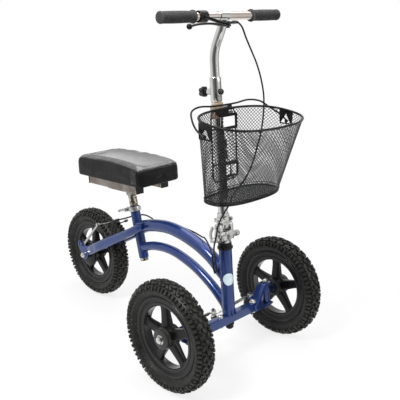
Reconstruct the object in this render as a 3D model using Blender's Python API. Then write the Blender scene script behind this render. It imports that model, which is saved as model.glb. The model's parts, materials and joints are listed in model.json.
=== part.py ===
"""All-terrain knee walker: two steered front wheels, one braked rear wheel,
a folding steering column with a basket, and a height-adjustable knee pad.

Metres, +Z up, +X forward, +Y to the left.  Every place is written from the
point on the floor under the front axle; `walker` carries that point, and
`rear_foot` the one under the rear axle.  AXLE_HEIGHT is the height above the
floor for which the frame's places are written; other tyres lift the whole walker.
"""
import math

import bmesh
import bpy
from mathutils import Matrix, Vector

# Overall layout
WHEELBASE = 0.643
TRACK = 0.461
TYRE_RADIUS = 0.159
TYRE_WIDTH = 0.056
STEER_LEAN = math.radians(5.24)
STEER_TRAIL = 0.0055
AXLE_HEIGHT = 0.159
GAP = 0.0003

# Wheels
TYRE_STEPS = 24
KNOB_HEIGHT = 0.003
CROWN_HALF = 0.012
RIM_RADIUS = 0.1126
RIM_HALF = 0.0163
RIM_INNER = 0.091
FLANGE_THICKNESS = 0.0023
BED_RADIUS = 0.104
WHEEL_STEPS = 20
SPOKES = 5
SPOKE_START = 93
SPOKE_ROOT = (0.0175, 0.0110)
SPOKE_TIP = (0.0115, 0.0072)
SPOKE_RIB = 0.006
SPOKE_RIB_HALF = 0.0115
HUB_RADIUS = 0.028
HUB_HALF = 0.024
AXLE_RADIUS = 0.006
NUT_ACROSS = 0.019
NUT_LENGTH = 0.008

# Front frame, in the leaning frame of the steering axis
HEAD_RADIUS = 0.019
HEAD_WALL = 0.0035
HEAD_BOTTOM = -0.0137
HEAD_TOP = 0.186
HEAD_STEPS = 16
BEAM_SIDE = 0.026
BEAM_CENTRE = -0.027
BEAM_HALF = 0.112
YOKE_DEPTH = 0.030
YOKE_PLATE = 0.007
YOKE_TOP = 0.032
YOKE_REACH = 0.184
KINGPIN_Y = 0.168
SLEEVE_RADIUS = 0.012
SLEEVE_BOTTOM = -0.0325
SLEEVE_TOP = 0.0245
KINGPIN_RADIUS = 0.005
BEAM_BOLTS = (0.106, -0.106, -0.037)
BOLT_CAP_RADIUS = 0.009

# Steering linkage
STEER_ARM = 0.0645
ARM_PLATE = 0.006
ARM_LEVEL = -0.037
STUD_RADIUS = 0.004
ROD_EYE_RADIUS = 0.009
ROD_EYE_HALF = 0.005
ROD_RADIUS = 0.0055
OUTER_EYE_LEVEL = -0.0255
INNER_EYE_LEVELS = {"left": -0.0353, "right": -0.0245}
SPINDLE_RADIUS = 0.007
STEERER_RADIUS = 0.0127
STEERER_TOP = 0.212
BUSH_TOP = 0.006

# Folding joint at the foot of the column
FOLD_LEVEL = 0.254
FOLD_EYE = 0.012
FOLD_TRUNNION = 0.005
CHEEK_INNER = 0.016
CHEEK_OUTER = 0.026
CASTING_DEPTH = 0.016
CASTING_BOTTOM = 0.2069
CASTING_FLOOR = 0.2405
SKEWER_LEVEL = 0.221
SKEWER_RADIUS = 0.003
SKEWER_HEAD = 0.0376
LEVER_BARREL = 0.007

# Column and stem
COLUMN_RADIUS = 0.014
COLUMN_WALL = 0.0013
COLUMN_FOOT = 0.0703
COLUMN_TOP = 0.670
TUBE_STEPS = 12
PIN_STEPS = 8
STEM_CLEARANCE = 0.0002
STEM_RADIUS = COLUMN_RADIUS - COLUMN_WALL - STEM_CLEARANCE
STEM_WALL = 0.002
STEM_FOOT = 0.480
KNOB_LEVEL = 0.6305
BOSS_LENGTH = 0.016
KNOB_REACH = COLUMN_RADIUS + 0.033
KNOB_STUD = 0.0045
GUIDE_STUD = 0.0029
KNOB_RADIUS = 0.0145
KNOB_LOBES = 5
BAR_PLACE = (0.041, 0.8247)
BAR_RADIUS = 0.011
BAR_HALF = 0.216
BAR_WALL = 0.002
GRIP_INNER = 0.107
GRIP_OUTER = 0.220
GRIP_RADIUS = 0.0165
GRIP_FLANGE = 0.0185
PERCH_INNER = 0.060
PERCH_OUTER = 0.095
LEVER_PIVOT = (BAR_PLACE[0] + 0.039, -0.025, BAR_PLACE[1] - 0.0197)
LEVER_TIP = (BAR_PLACE[0] + 0.042, -0.163, BAR_PLACE[1] - 0.025)
LEVER_PIN_RADIUS = 0.0028
CABLE_RADIUS = 0.00275
CABLE_LEAD = 0.004
WIRE_CORE = 0.0009

# Basket
RIM_OFFSET = 0.0636
RIM_CENTRE_X = COLUMN_RADIUS + RIM_OFFSET
RIM_LEVEL = 0.7326
RIM_SEMI = (0.0988, 0.1564)
RIM_TILT = -0.12
BASE_OFFSET = 0.036
BASE_CENTRE_X = COLUMN_RADIUS + BASE_OFFSET
BASE_LEVEL = 0.519
BASE_SEMI = (0.058, 0.125)
ROUNDNESS = 2.5
WIRE_RADIUS = 0.003
MESH_THICKNESS = 0.0022
MESH_EDGE = 0.0200
MESH_COLUMNS = 16
MESH_ROWS = 6
BAIL_PIVOT = (RIM_CENTRE_X - 0.0126, RIM_SEMI[1] - 0.0044, RIM_LEVEL - 0.0306)
BAIL_PIN_RADIUS = 0.0028
RIB_RADIUS = 0.0019
HANGER_LEVELS = (0.548, 0.740)
HANGER_RUNG = 0.692
HANGER_MESH_ROW = 2
HANGER_HALF = 0.048
HANGER_WIRE = 0.0022
BRACKET_LEVEL = 0.735
BRACKET_DEPTH = 0.0056
BRACKET_FRONT = COLUMN_RADIUS + BRACKET_DEPTH

# Rear frame
MAIN_RADIUS = 0.020
LOWER_RADIUS = 0.0145
STAY_HALF = 0.014
STAY_HEIGHT = 0.017
SEAT_TUBE_RADIUS = 0.016
SEAT_SETBACK = 0.2224
SEAT_TUBE_TOP = (SEAT_SETBACK - WHEELBASE, 0.380)
ARCH_REACH = 0.4206
SEAT_TUBE_LENGTH = 0.1745
SEAT_LEAN = math.radians(14.5)
CLAMP_LOW, CLAMP_HIGH = -0.0160, -0.0020
CLAMP_BOLT_X = SEAT_TUBE_RADIUS + 0.011
CLAMP_BOLT_HEAD = 0.0112
CLAMP_BARREL = 0.0055
DROPOUT_Y = 0.050
DROPOUT_PLATE = 0.005
REAR_NUT_LENGTH = 0.009
DRUM_RADIUS = 0.036
DRUM_DEPTH = 0.014
BRAKE_PIVOT = (-0.009, 0.037)
BRAKE_TIP = (0.080, 0.132)
BRAKE_PIN_RADIUS = 0.0040
BRAKE_PLANE = -0.0465

# Knee pad
POST_RADIUS = 0.0138
POST_BOTTOM = -0.1845
POST_TOP = 0.0642
PAD_SETBACK = 0.1915
PAD_CENTRE_X = PAD_SETBACK - WHEELBASE
PAD_BASE = 0.4712
PAD_TILT = math.radians(2.75)
PAD_HALF_LENGTH = 0.170
PAD_HALF_WIDTH = 0.086
PAD_THICKNESS = 0.0715
PAD_TROUGH = 0.010
PAD_ROLL = 0.014
BOARD_THICKNESS = 0.0085
BOARD_MARGIN = 0.014
RAIL_Y = 0.0512
RAIL_WIDTH = 0.028
RAIL_HEIGHT = 0.0255
RAIL_REACH = 0.122

FRONT_REACH = RIM_CENTRE_X + RIM_SEMI[0] * math.cos(RIM_TILT) + WIRE_RADIUS
FRONT_AXLE_X = (WHEELBASE + TYRE_RADIUS - FRONT_REACH) / 2

# Finishes: colour, roughness, metallic
FINISHES = {
    "blue": ((0.030, 0.055, 0.230, 1), 0.28, 0.55),
    "chrome": ((0.80, 0.81, 0.82, 1), 0.12, 1.0),
    "steel": ((0.62, 0.62, 0.60, 1), 0.32, 1.0),
    "cast": ((0.70, 0.70, 0.68, 1), 0.38, 0.9),
    "black_metal": ((0.020, 0.020, 0.022, 1), 0.38, 0.4),
    "moulded": ((0.018, 0.018, 0.020, 1), 0.45, 0.0),
    "tyre": ((0.050, 0.049, 0.045, 1), 0.85, 0.0),
    "grip": ((0.022, 0.022, 0.023, 1), 0.75, 0.0),
    "pad": ((0.016, 0.016, 0.018, 1), 0.55, 0.0),
    "board": ((0.16, 0.11, 0.065, 1), 0.7, 0.0),
}


# Points and curves

def arc(centre, radius, start, end, count):
    """Points on an arc, both ends included; angles in degrees."""
    points = []
    for i in range(count):
        angle = math.radians(start + (end - start) * i / (count - 1))
        points.append((centre[0] + radius * math.cos(angle), centre[1] + radius * math.sin(angle)))
    return points


def superellipse(angle, semi):
    """Point on a superellipse outline with the basket's roundness."""
    c, s = math.cos(angle), math.sin(angle)
    power = 2 / ROUNDNESS
    x = semi[0] * math.copysign(abs(c) ** power, c)
    y = semi[1] * math.copysign(abs(s) ** power, s)
    return x, y


def smooth_path(route, count):
    """Evenly spaced points on the smooth curve through the route's points."""
    knots = [Vector(point) for point in route]
    knots = [2 * knots[0] - knots[1]] + knots + [2 * knots[-1] - knots[-2]]
    dense = []
    for a, b, c, d in zip(knots, knots[1:], knots[2:], knots[3:]):
        for step in range(24):
            t = step / 24
            dense.append(0.5 * (2 * b + (c - a) * t + (2 * a - 5 * b + 4 * c - d) * t ** 2
                                + (3 * b - a - 3 * c + d) * t ** 3))
    dense.append(knots[-2])
    lengths = [0.0]
    for start, end in zip(dense, dense[1:]):
        lengths.append(lengths[-1] + (end - start).length)
    points = []
    index = 0
    for i in range(count):
        wanted = lengths[-1] * i / (count - 1)
        while index < len(dense) - 2 and lengths[index + 1] < wanted:
            index += 1
        span = lengths[index + 1] - lengths[index]
        points.append(dense[index].lerp(dense[index + 1], (wanted - lengths[index]) / span))
    return points


def steer_local(x, y, z):
    """A point of the walker written in the leaning frame of the steering axis."""
    dx, dz = x - STEER_TRAIL, z - AXLE_HEIGHT
    c, s = math.cos(STEER_LEAN), math.sin(STEER_LEAN)
    return Vector((dx * c + dz * s, y, -dx * s + dz * c))


def seat_local(x, z):
    """A point of the walker's middle plane in the leaning frame of the seat tube."""
    dx, dz = x - SEAT_TUBE_TOP[0], z - SEAT_TUBE_TOP[1]
    c, s = math.cos(SEAT_LEAN), math.sin(SEAT_LEAN)
    return (dx * c + dz * s, 0, -dx * s + dz * c)


def bore(radius, steps):
    """Radius of a faceted bore whose flats clear a shaft by the fitting gap."""
    return (radius + GAP) / math.cos(math.pi / steps)


# Meshes

TURNS = {
    "X": Matrix.Rotation(math.pi / 2, 4, "Y"),
    "Y": Matrix.Rotation(-math.pi / 2, 4, "X"),
    "Z": Matrix.Identity(4),
}


def finished(bm, name="shape"):
    """Close off a bmesh as a mesh with its faces pointing out."""
    bm.normal_update()
    bmesh.ops.recalc_face_normals(bm, faces=bm.faces)
    if bm.calc_volume(signed=True) < 0:
        bmesh.ops.reverse_faces(bm, faces=bm.faces)
    mesh = bpy.data.meshes.new(name)
    bm.to_mesh(mesh)
    bm.free()
    return mesh


def turned(outline, steps, axis="Z"):
    """Solid of revolution of a closed (radius, height) outline."""
    bm = bmesh.new()
    rings = []
    for radius, height in outline:
        if radius < 1e-7:
            rings.append([bm.verts.new((0, 0, height))])
            continue
        ring = []
        for i in range(steps):
            angle = 2 * math.pi * (i + 0.5) / steps
            ring.append(bm.verts.new((radius * math.cos(angle), radius * math.sin(angle), height)))
        rings.append(ring)
    for ring, following in zip(rings, rings[1:] + rings[:1]):
        if len(ring) == 1 and len(following) == 1:
            continue
        for i in range(steps):
            j = (i + 1) % steps
            corners = [ring[i % len(ring)], ring[j % len(ring)]]
            corners += [following[j % len(following)], following[i % len(following)]]
            bm.faces.new(list(dict.fromkeys(corners)))
    bm.transform(TURNS[axis])
    return finished(bm)


def rod(radius, low, high, steps=10, axis="Z"):
    """Plain round bar along an axis."""
    return turned([(0, low), (radius, low), (radius, high), (0, high)], steps, axis)


def ring(inner, outer, low, high, steps, axis="Z"):
    """Plain ring round an axis."""
    return turned([(inner, low), (outer, low), (outer, high), (inner, high)], steps, axis)


def plate(outline, low, high, normal="Z", windows=()):
    """Flat plate of a closed outline between two levels of its normal, open at its windows."""
    bm = bmesh.new()
    edges = []
    for border in (outline, *windows):
        loop = [bm.verts.new((u, v, low)) for u, v in border]
        edges += [bm.edges.new((a, b)) for a, b in zip(loop, loop[1:] + loop[:1])]
    filled = bmesh.ops.triangle_fill(bm, edges=edges, use_beauty=True, normal=(0, 0, 1))
    faces = [item for item in filled["geom"] if isinstance(item, bmesh.types.BMFace)]
    grown = bmesh.ops.extrude_face_region(bm, geom=faces)
    moved = [item for item in grown["geom"] if isinstance(item, bmesh.types.BMVert)]
    bmesh.ops.translate(bm, verts=moved, vec=(0, 0, high - low))
    for vert in bm.verts:
        u, v, w = vert.co
        if normal == "Y":
            vert.co = (u, w, v)
        elif normal == "X":
            vert.co = (w, u, v)
    return finished(bm)


def block(low, high, bevel=0.0):
    """Box between two corners, with its edges bevelled."""
    bm = bmesh.new()
    bmesh.ops.create_cube(bm, size=1)
    centre = (Vector(low) + Vector(high)) / 2
    extent = Vector(high) - Vector(low)
    for vert in bm.verts:
        vert.co = Vector([vert.co[k] * extent[k] + centre[k] for k in range(3)])
    if bevel:
        bmesh.ops.bevel(bm, geom=bm.edges[:], offset=bevel, segments=1, affect="EDGES")
    return finished(bm)


def swept(path, sections, sides, side=(0, 1, 0), wall=0.0, closed=False, turn=0.5):
    """Tube along a path.

    A section is (half across, half up) for the whole path, or one for each
    point.  A wall makes the tube hollow with open ends.
    """
    points = [Vector(point) for point in path]
    count = len(points)
    if isinstance(sections, tuple):
        sections = [sections] * count
    bm = bmesh.new()
    outer, inner = [], []
    across = Vector(side)
    for i, point in enumerate(points):
        before = points[i - 1] if (i or closed) else point
        after = points[(i + 1) % count] if (i < count - 1 or closed) else point
        tangent = (after - before).normalized()
        across = (across - tangent * across.dot(tangent)).normalized()
        up = tangent.cross(across)
        for loops, inset in ((outer, 0.0), (inner, wall)):
            if loops is inner and not wall:
                continue
            loop = []
            for k in range(sides):
                angle = 2 * math.pi * (k + turn) / sides
                shift = across * (sections[i][0] - inset) * math.cos(angle)
                shift += up * (sections[i][1] - inset) * math.sin(angle)
                loop.append(bm.verts.new(point + shift))
            loops.append(loop)
    for loops in (outer, inner) if wall else (outer,):
        spans = list(zip(loops, loops[1:]))
        if closed:
            spans.append((loops[-1], loops[0]))
        for first, second in spans:
            for k in range(sides):
                n = (k + 1) % sides
                bm.faces.new((first[k], first[n], second[n], second[k]))
    if not closed:
        for end in (0, -1):
            if not wall:
                bm.faces.new(outer[end])
                continue
            for k in range(sides):
                n = (k + 1) % sides
                bm.faces.new((outer[end][k], outer[end][n], inner[end][n], inner[end][k]))
    return finished(bm)


# Objects

def finish(key):
    """The material of a finish, made once."""
    material = bpy.data.materials.get(key)
    if material:
        return material
    colour, roughness, metallic = FINISHES[key]
    material = bpy.data.materials.new(key)
    material.use_nodes = True
    shader = material.node_tree.nodes["Principled BSDF"]
    shader.inputs["Base Color"].default_value = colour
    shader.inputs["Roughness"].default_value = roughness
    shader.inputs["Metallic"].default_value = metallic
    material.diffuse_color = colour
    return material


def empty(name, parent=None, location=(0, 0, 0), rotation=(0, 0, 0)):
    """A joint's or a group's own frame."""
    obj = bpy.data.objects.new(name, None)
    bpy.context.scene.collection.objects.link(obj)
    obj.empty_display_size = 0.03
    obj.parent = parent
    obj.location = location
    obj.rotation_euler = rotation
    return obj


def piece(name, mesh, key, parent, location=(0, 0, 0), rotation=(0, 0, 0)):
    """One sub-part, shaded smooth over its round faces."""
    mesh.name = name
    mesh.materials.append(finish(key))
    mesh.shade_smooth()
    mesh.set_sharp_from_angle(angle=math.radians(38))
    obj = bpy.data.objects.new(name, mesh)
    bpy.context.scene.collection.objects.link(obj)
    obj.parent = parent
    obj.location = location
    obj.rotation_euler = rotation
    return obj


def shaped(obj, mesh, operation, parent=None, location=(0, 0, 0), rotation=(0, 0, 0)):
    """Join a hidden shape to a sub-part, or cut it away."""
    tool = bpy.data.objects.new(obj.name + "_tool", mesh)
    bpy.context.scene.collection.objects.link(tool)
    tool.parent = parent or obj.parent
    tool.location = location
    tool.rotation_euler = rotation
    tool.hide_render = True
    tool.display_type = "WIRE"
    modifier = obj.modifiers.new(operation.lower(), "BOOLEAN")
    modifier.operation = operation
    modifier.solver = "EXACT"
    modifier.object = tool


def join(obj, mesh, **place):
    shaped(obj, mesh, "UNION", **place)


def cut(obj, mesh, **place):
    shaped(obj, mesh, "DIFFERENCE", **place)


def cable(name, parent, points):
    """A stretch of brake cable along its points."""
    curve = bpy.data.curves.new(name, "CURVE")
    curve.dimensions = "3D"
    curve.bevel_depth = CABLE_RADIUS
    curve.bevel_resolution = 2
    curve.use_fill_caps = True
    spline = curve.splines.new("POLY")
    spline.points.add(len(points) - 1)
    for point, place in zip(spline.points, points):
        point.co = (*place, 1)
    curve.materials.append(finish("moulded"))
    obj = bpy.data.objects.new(name, curve)
    bpy.context.scene.collection.objects.link(obj)
    obj.parent = parent
    return obj


# Wheels

def tyre_mesh():
    """Hollow tyre, open to the rim, with staggered blocks on crown and shoulders.

    The facets are centred on the axes, so a crown block lies flat on the floor.
    """
    reach = 1 / math.cos(math.pi / TYRE_STEPS)
    half = TYRE_WIDTH / 2
    base = TYRE_RADIUS - KNOB_HEIGHT
    bead = RIM_HALF - FLANGE_THICKNESS - GAP
    seat = BED_RADIUS + GAP
    side = [(seat, bead), (RIM_RADIUS + 0.0015, bead), (TYRE_RADIUS - 0.025, half),
            (TYRE_RADIUS - 0.010, half - 0.0035), (base, CROWN_HALF)]
    outline = side + [(r, -y) for r, y in reversed(side)]
    casing = TYRE_RADIUS - 0.017
    inner = [(seat, -0.0085), (casing, -0.020), (casing, 0.020), (seat, 0.0085)]
    outline = [(r * reach, y) for r, y in outline + inner]
    mesh = turned(outline, TYRE_STEPS, "Y")
    bm = bmesh.new()
    bm.from_mesh(mesh)
    crown, shoulder = [], []
    for face in bm.faces:
        centre = face.calc_center_median()
        radius = math.hypot(centre.x, centre.z)
        number = round(math.degrees(math.atan2(centre.z, centre.x)) * TYRE_STEPS / 360) % 2
        if radius > base - 0.001 and number == 0:
            crown.append(face)
        if TYRE_RADIUS - 0.009 < radius < base - 0.001 and number == 1:
            shoulder.append(face)
    for face in crown + shoulder:
        if face in crown:
            centre = face.calc_center_median()
            lift = Vector((centre.x, 0, centre.z)).normalized() * KNOB_HEIGHT
        else:
            lift = face.normal * KNOB_HEIGHT
        grown = bmesh.ops.extrude_discrete_faces(bm, faces=[face])
        top = grown["faces"][0]
        bmesh.ops.translate(bm, verts=top.verts, vec=lift)
    return finished(bm)


def rim_mesh():
    """Turned rim with its two flanges and the bed between them."""
    lip = RIM_HALF - FLANGE_THICKNESS
    side = [(RIM_INNER, RIM_HALF), (RIM_RADIUS, RIM_HALF), (RIM_RADIUS, lip), (BED_RADIUS, lip)]
    return turned(side + [(r, -y) for r, y in reversed(side)], WHEEL_STEPS, "Y")


def spoke_star():
    """Narrow ribs that run from the hub to the rim down the middle of the spokes."""
    outline = []
    inner, outer, half = 0.010, RIM_INNER + 0.005, SPOKE_RIB / 2
    for i in range(SPOKES):
        a = math.radians(SPOKE_START) + 2 * math.pi * i / SPOKES
        along = Vector((math.cos(a), math.sin(a)))
        across = Vector((-math.sin(a), math.cos(a)))
        for reach, shift in ((inner, -half), (outer, -half), (outer, half), (inner, half)):
            outline.append(tuple(along * reach + across * shift))
    return plate(outline, -SPOKE_RIB_HALF, SPOKE_RIB_HALF, "Y")


def spoke(number):
    """One broad spoke, tapering from the hub to the rim."""
    a = math.radians(SPOKE_START) + 2 * math.pi * number / SPOKES
    along = Vector((math.cos(a), 0, math.sin(a)))
    across = (-math.sin(a), 0, math.cos(a))
    path = [along * (HUB_RADIUS - 0.0025), along * (RIM_INNER + 0.006)]
    return swept(path, [SPOKE_ROOT, SPOKE_TIP], 6, side=across, turn=0)


def make_wheel(suffix, parent, drum=False):
    """Tyre and five-spoke moulded wheel about the parent's Y axis."""
    piece("tyre_" + suffix, tyre_mesh(), "tyre", parent)
    wheel = piece("wheel_" + suffix, rim_mesh(), "moulded", parent)
    for i in range(SPOKES):
        join(wheel, spoke(i))
    join(wheel, spoke_star())
    rim_side = [(0, HUB_HALF), (HUB_RADIUS - 0.003, HUB_HALF), (HUB_RADIUS, HUB_HALF - 0.004)]
    hub = rim_side + [(r, -y) for r, y in reversed(rim_side)]
    join(wheel, turned(hub, HEAD_STEPS, "Y"))
    if drum:
        join(wheel, rod(DRUM_RADIUS, -HUB_HALF - DRUM_DEPTH, -HUB_HALF + 0.006, HEAD_STEPS, "Y"))
    cut(wheel, rod(bore(AXLE_RADIUS, PIN_STEPS), -0.06, 0.06, PIN_STEPS, "Y"))


# Front frame

def make_front_beam(lean):
    """Box beam with a bent-plate yoke and capped bolts at each end."""
    low = BEAM_CENTRE - BEAM_SIDE / 2
    high = BEAM_CENTRE + BEAM_SIDE / 2
    half = BEAM_SIDE / 2
    beam = piece("front_beam", block((-half, -BEAM_HALF, low), (half, BEAM_HALF, high), 0.003), "blue", lean)
    inner_top = YOKE_TOP - YOKE_PLATE
    outline = [(0.100, low), (YOKE_REACH - 0.004, low), (YOKE_REACH, low + 0.003),
               (YOKE_REACH, low + YOKE_PLATE), (0.116, low + YOKE_PLATE), (0.1135, low + 0.010),
               (0.1145, low + 0.014), (0.1545, inner_top), (YOKE_REACH, inner_top),
               (YOKE_REACH, YOKE_TOP - 0.003), (YOKE_REACH - 0.004, YOKE_TOP), (0.1505, YOKE_TOP),
               (0.1105, high - 0.006), (0.100, high - 0.006)]
    for turn in (1, -1):
        join(beam, plate([(y * turn, z) for y, z in outline], -YOKE_DEPTH / 2, YOKE_DEPTH / 2, "X"))
    for y in BEAM_BOLTS:
        cap = [(0, high + 0.0085), (0.005, high + 0.0075), (BOLT_CAP_RADIUS, high + 0.003),
               (BOLT_CAP_RADIUS, high - 0.004), (0, high - 0.004)]
        join(beam, turned(cap, 8), location=(0, y, 0))
        join(beam, rod(0.0075, low - 0.0065, low + 0.0045, 6), location=(0.0001, y, 0), rotation=(0, 0, 0.1))
    cut(beam, rod(bore(SPINDLE_RADIUS, PIN_STEPS), low - 0.02, high + 0.02, PIN_STEPS))
    for turn in (1, -1):
        hole = rod(bore(KINGPIN_RADIUS, PIN_STEPS), low - 0.03, YOKE_TOP + 0.03, PIN_STEPS)
        cut(beam, hole, location=(0, KINGPIN_Y * turn, 0))


def make_kingpin(side, turn, lean):
    """Kingpin bolt with its head under the yoke and a nut on top."""
    low = BEAM_CENTRE - BEAM_SIDE / 2
    outline = [(0, low - 0.0075), (0.0075, low - 0.0065), (0.0085, low - GAP),
               (KINGPIN_RADIUS, low - GAP), (KINGPIN_RADIUS, YOKE_TOP + GAP),
               (0.0085, YOKE_TOP + GAP), (0.0085, YOKE_TOP + 0.0075), (0.005, YOKE_TOP + 0.0105),
               (0, YOKE_TOP + 0.0105)]
    piece("kingpin_" + side, turned(outline, PIN_STEPS), "steel", lean, (0, KINGPIN_Y * turn, 0))


def make_knuckle(side, turn, swivel):
    """Kingpin sleeve with the stub axle and the steering arm."""
    outer = SLEEVE_RADIUS
    sleeve = ring(KINGPIN_RADIUS, outer, SLEEVE_BOTTOM, SLEEVE_TOP, PIN_STEPS + 2)
    knuckle = piece("knuckle_" + side, sleeve, "steel", swivel)
    wheel_y = (TRACK / 2 - KINGPIN_Y) * turn
    stub_end = wheel_y + (HUB_HALF + GAP + NUT_LENGTH - 0.001) * turn
    shoulder = wheel_y - (HUB_HALF + GAP) * turn
    outline = [(0, 0.008 * turn), (0.0105, 0.008 * turn), (0.0095, shoulder), (AXLE_RADIUS, shoulder),
               (AXLE_RADIUS, stub_end), (0, stub_end)]
    trail = STEER_TRAIL
    place = (-trail * math.cos(STEER_LEAN), 0, trail * math.sin(STEER_LEAN))
    join(knuckle, turned(outline, PIN_STEPS, "Y"), location=place)
    top = -0.0200
    back = YOKE_DEPTH / 2 + 0.005
    profile = [(-0.006, top), (-back - 0.004, top), (-back - 0.012, ARM_LEVEL + ARM_PLATE),
               (-STEER_ARM, ARM_LEVEL + ARM_PLATE), (-STEER_ARM, ARM_LEVEL),
               (-back - 0.006, ARM_LEVEL), (-back, top - 0.008), (-0.006, top - 0.008)]
    join(knuckle, plate(profile, -0.008, 0.008, "Y"))
    join(knuckle, rod(0.0095, ARM_LEVEL, ARM_LEVEL + ARM_PLATE, PIN_STEPS), location=(-STEER_ARM, 0, 0))
    pin = [(0, ARM_LEVEL + 0.002), (STUD_RADIUS, ARM_LEVEL + 0.002),
           (STUD_RADIUS, OUTER_EYE_LEVEL + ROD_EYE_HALF + 0.004), (0, OUTER_EYE_LEVEL + ROD_EYE_HALF + 0.005)]
    join(knuckle, turned(pin, PIN_STEPS), location=(-STEER_ARM, 0, 0))
    cut(knuckle, rod(bore(KINGPIN_RADIUS, PIN_STEPS), SLEEVE_BOTTOM - 0.02, SLEEVE_TOP + 0.02, PIN_STEPS))


def hex_nut(name, parent, key, start, length, turn, hole):
    """Domed hexagon nut round the parent's Y axis."""
    across = NUT_ACROSS / 2 / math.cos(math.pi / 6)
    end = start + length * turn
    outline = [(hole, start), (across, start), (across, end - 0.002 * turn), (across - 0.002, end),
               (hole, end)]
    return piece(name, turned(outline, 6, "Y"), key, parent)


def make_head(lean):
    """Head tube with its foot ribs, and the bearings it holds."""
    steps = HEAD_STEPS
    inner = HEAD_RADIUS - HEAD_WALL
    tube = piece("head_tube", ring(inner, HEAD_RADIUS, HEAD_BOTTOM, HEAD_TOP, steps), "blue", lean)
    rib = [(HEAD_RADIUS - 0.0025, HEAD_BOTTOM), (HEAD_RADIUS + 0.006, HEAD_BOTTOM),
           (HEAD_RADIUS - 0.0025, HEAD_BOTTOM + 0.026)]
    for y in (-0.007, 0.007):
        join(tube, plate(rib, y - 0.0018, y + 0.0018, "Y"))
    sleeve = inner - 2 * GAP
    bush = bore(SPINDLE_RADIUS, steps)
    piece("lower_bush", ring(bush, sleeve, HEAD_BOTTOM + GAP, BUSH_TOP, steps), "black_metal", lean)
    shaft = bore(STEERER_RADIUS, steps)
    outline = [(shaft, HEAD_TOP - 0.016), (sleeve, HEAD_TOP - 0.016), (sleeve, HEAD_TOP + GAP),
               (0.0215, HEAD_TOP + GAP), (0.0225, HEAD_TOP + 0.003), (0.0225, HEAD_TOP + 0.008),
               (0.0185, HEAD_TOP + 0.010), (0.0190, CASTING_BOTTOM - 0.0005),
               (shaft, CASTING_BOTTOM - 0.0005)]
    piece("headset_cup", turned(outline, steps), "black_metal", lean)


def make_linkage(steering):
    """Steerer, its arm and nut, all on the steering axis."""
    low = BEAM_CENTRE - BEAM_SIDE / 2
    arm_top = low - 0.001
    arm_low = arm_top - ARM_PLATE
    nut_low = arm_low - 0.011
    spindle, post = SPINDLE_RADIUS, STEERER_RADIUS
    outline = [(0, nut_low + 0.004), (spindle, nut_low + 0.004), (spindle, BUSH_TOP + GAP),
               (post, BUSH_TOP + GAP), (post, STEERER_TOP), (0, STEERER_TOP)]
    piece("steerer", turned(outline, HEAD_STEPS), "black_metal", steering)
    front = arc((0, 0), 0.014, -100, 100, 9)
    back = arc((-STEER_ARM, 0), 0.0095, 100, 260, 7)
    arm = piece("pitman_arm", plate(front + back, arm_low, arm_top), "steel", steering)
    top_eye = INNER_EYE_LEVELS["right"] + ROD_EYE_HALF
    join(arm, rod(STUD_RADIUS, arm_low + 0.002, top_eye + 0.004, PIN_STEPS), location=(-STEER_ARM, 0, 0))
    cut(arm, rod(bore(spindle, HEAD_STEPS), arm_low - 0.01, arm_top + 0.01, HEAD_STEPS))
    hole = bore(spindle, HEAD_STEPS)
    nut = [(hole, arm_low - GAP), (0.0125, arm_low - GAP), (0.0125, nut_low + 0.003),
           (0.008, nut_low - 0.002), (0, nut_low - 0.002), (0, nut_low + 0.004 - GAP),
           (hole, nut_low + 0.004 - GAP)]
    piece("steerer_nut", turned(nut, PIN_STEPS), "black_metal", steering)


def make_tie_rod(side, turn, link):
    """Tie rod from the central stud to the knuckle's arm."""
    level = INNER_EYE_LEVELS[side]
    rise = OUTER_EYE_LEVEL - level
    eye = ring(bore(STUD_RADIUS, PIN_STEPS), ROD_EYE_RADIUS, -ROD_EYE_HALF, ROD_EYE_HALF, PIN_STEPS)
    tie = piece("tie_rod_" + side, eye, "steel", link, (0, 0, level))
    reach = KINGPIN_Y * turn
    far_eye = ring(bore(STUD_RADIUS, PIN_STEPS), ROD_EYE_RADIUS, -ROD_EYE_HALF, ROD_EYE_HALF, PIN_STEPS)
    join(tie, far_eye, location=(0, reach, level + rise))
    start = 0.0065
    slope = rise / KINGPIN_Y
    route = []
    for along in (start, 0.022, 0.024, KINGPIN_Y - 0.024, KINGPIN_Y - 0.022, KINGPIN_Y - start):
        route.append((0, along * turn, level + slope * along))
    neck, thick = (0.004, 0.004), (ROD_RADIUS, ROD_RADIUS)
    join(tie, swept(route, [neck, neck, thick, thick, neck, neck], 6, side=(1, 0, 0)))


# Folding joint

def cheek(centre, radius, half_depth, floor):
    """Side view of a lug: a round head on a straight foot."""
    outline = [(-half_depth, floor), (half_depth, floor)]
    outline += arc((0, centre), radius, 0, 180, 9)
    return outline


def make_fold_base(steering):
    """Lower casting: steerer socket, clamp block and two hinge cheeks."""
    steps = HEAD_STEPS
    hole = bore(STEERER_RADIUS, steps)
    outline = [(hole, CASTING_BOTTOM), (0.0185, CASTING_BOTTOM), (0.0185, 0.216), (0, 0.216),
               (0, STEERER_TOP + GAP), (hole, STEERER_TOP + GAP)]
    base = piece("fold_base", turned(outline, steps), "cast", steering)
    depth = CASTING_DEPTH
    body = block((-depth, -CHEEK_OUTER, 0.2138), (depth, CHEEK_OUTER, CASTING_FLOOR), 0.003)
    join(base, body)
    for turn in (1, -1):
        lug = plate(cheek(FOLD_LEVEL, FOLD_EYE, FOLD_EYE, CASTING_FLOOR - 0.004),
                    *sorted((CHEEK_INNER * turn, CHEEK_OUTER * turn)), "Y")
        join(base, lug)
    trunnion = rod(bore(FOLD_TRUNNION, PIN_STEPS), -0.04, 0.04, PIN_STEPS, "Y")
    cut(base, trunnion, location=(0, 0, FOLD_LEVEL))
    cut(base, rod(bore(SKEWER_RADIUS, PIN_STEPS), -0.04, 0.04, PIN_STEPS, "Y"), location=(0, 0, SKEWER_LEVEL))


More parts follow.
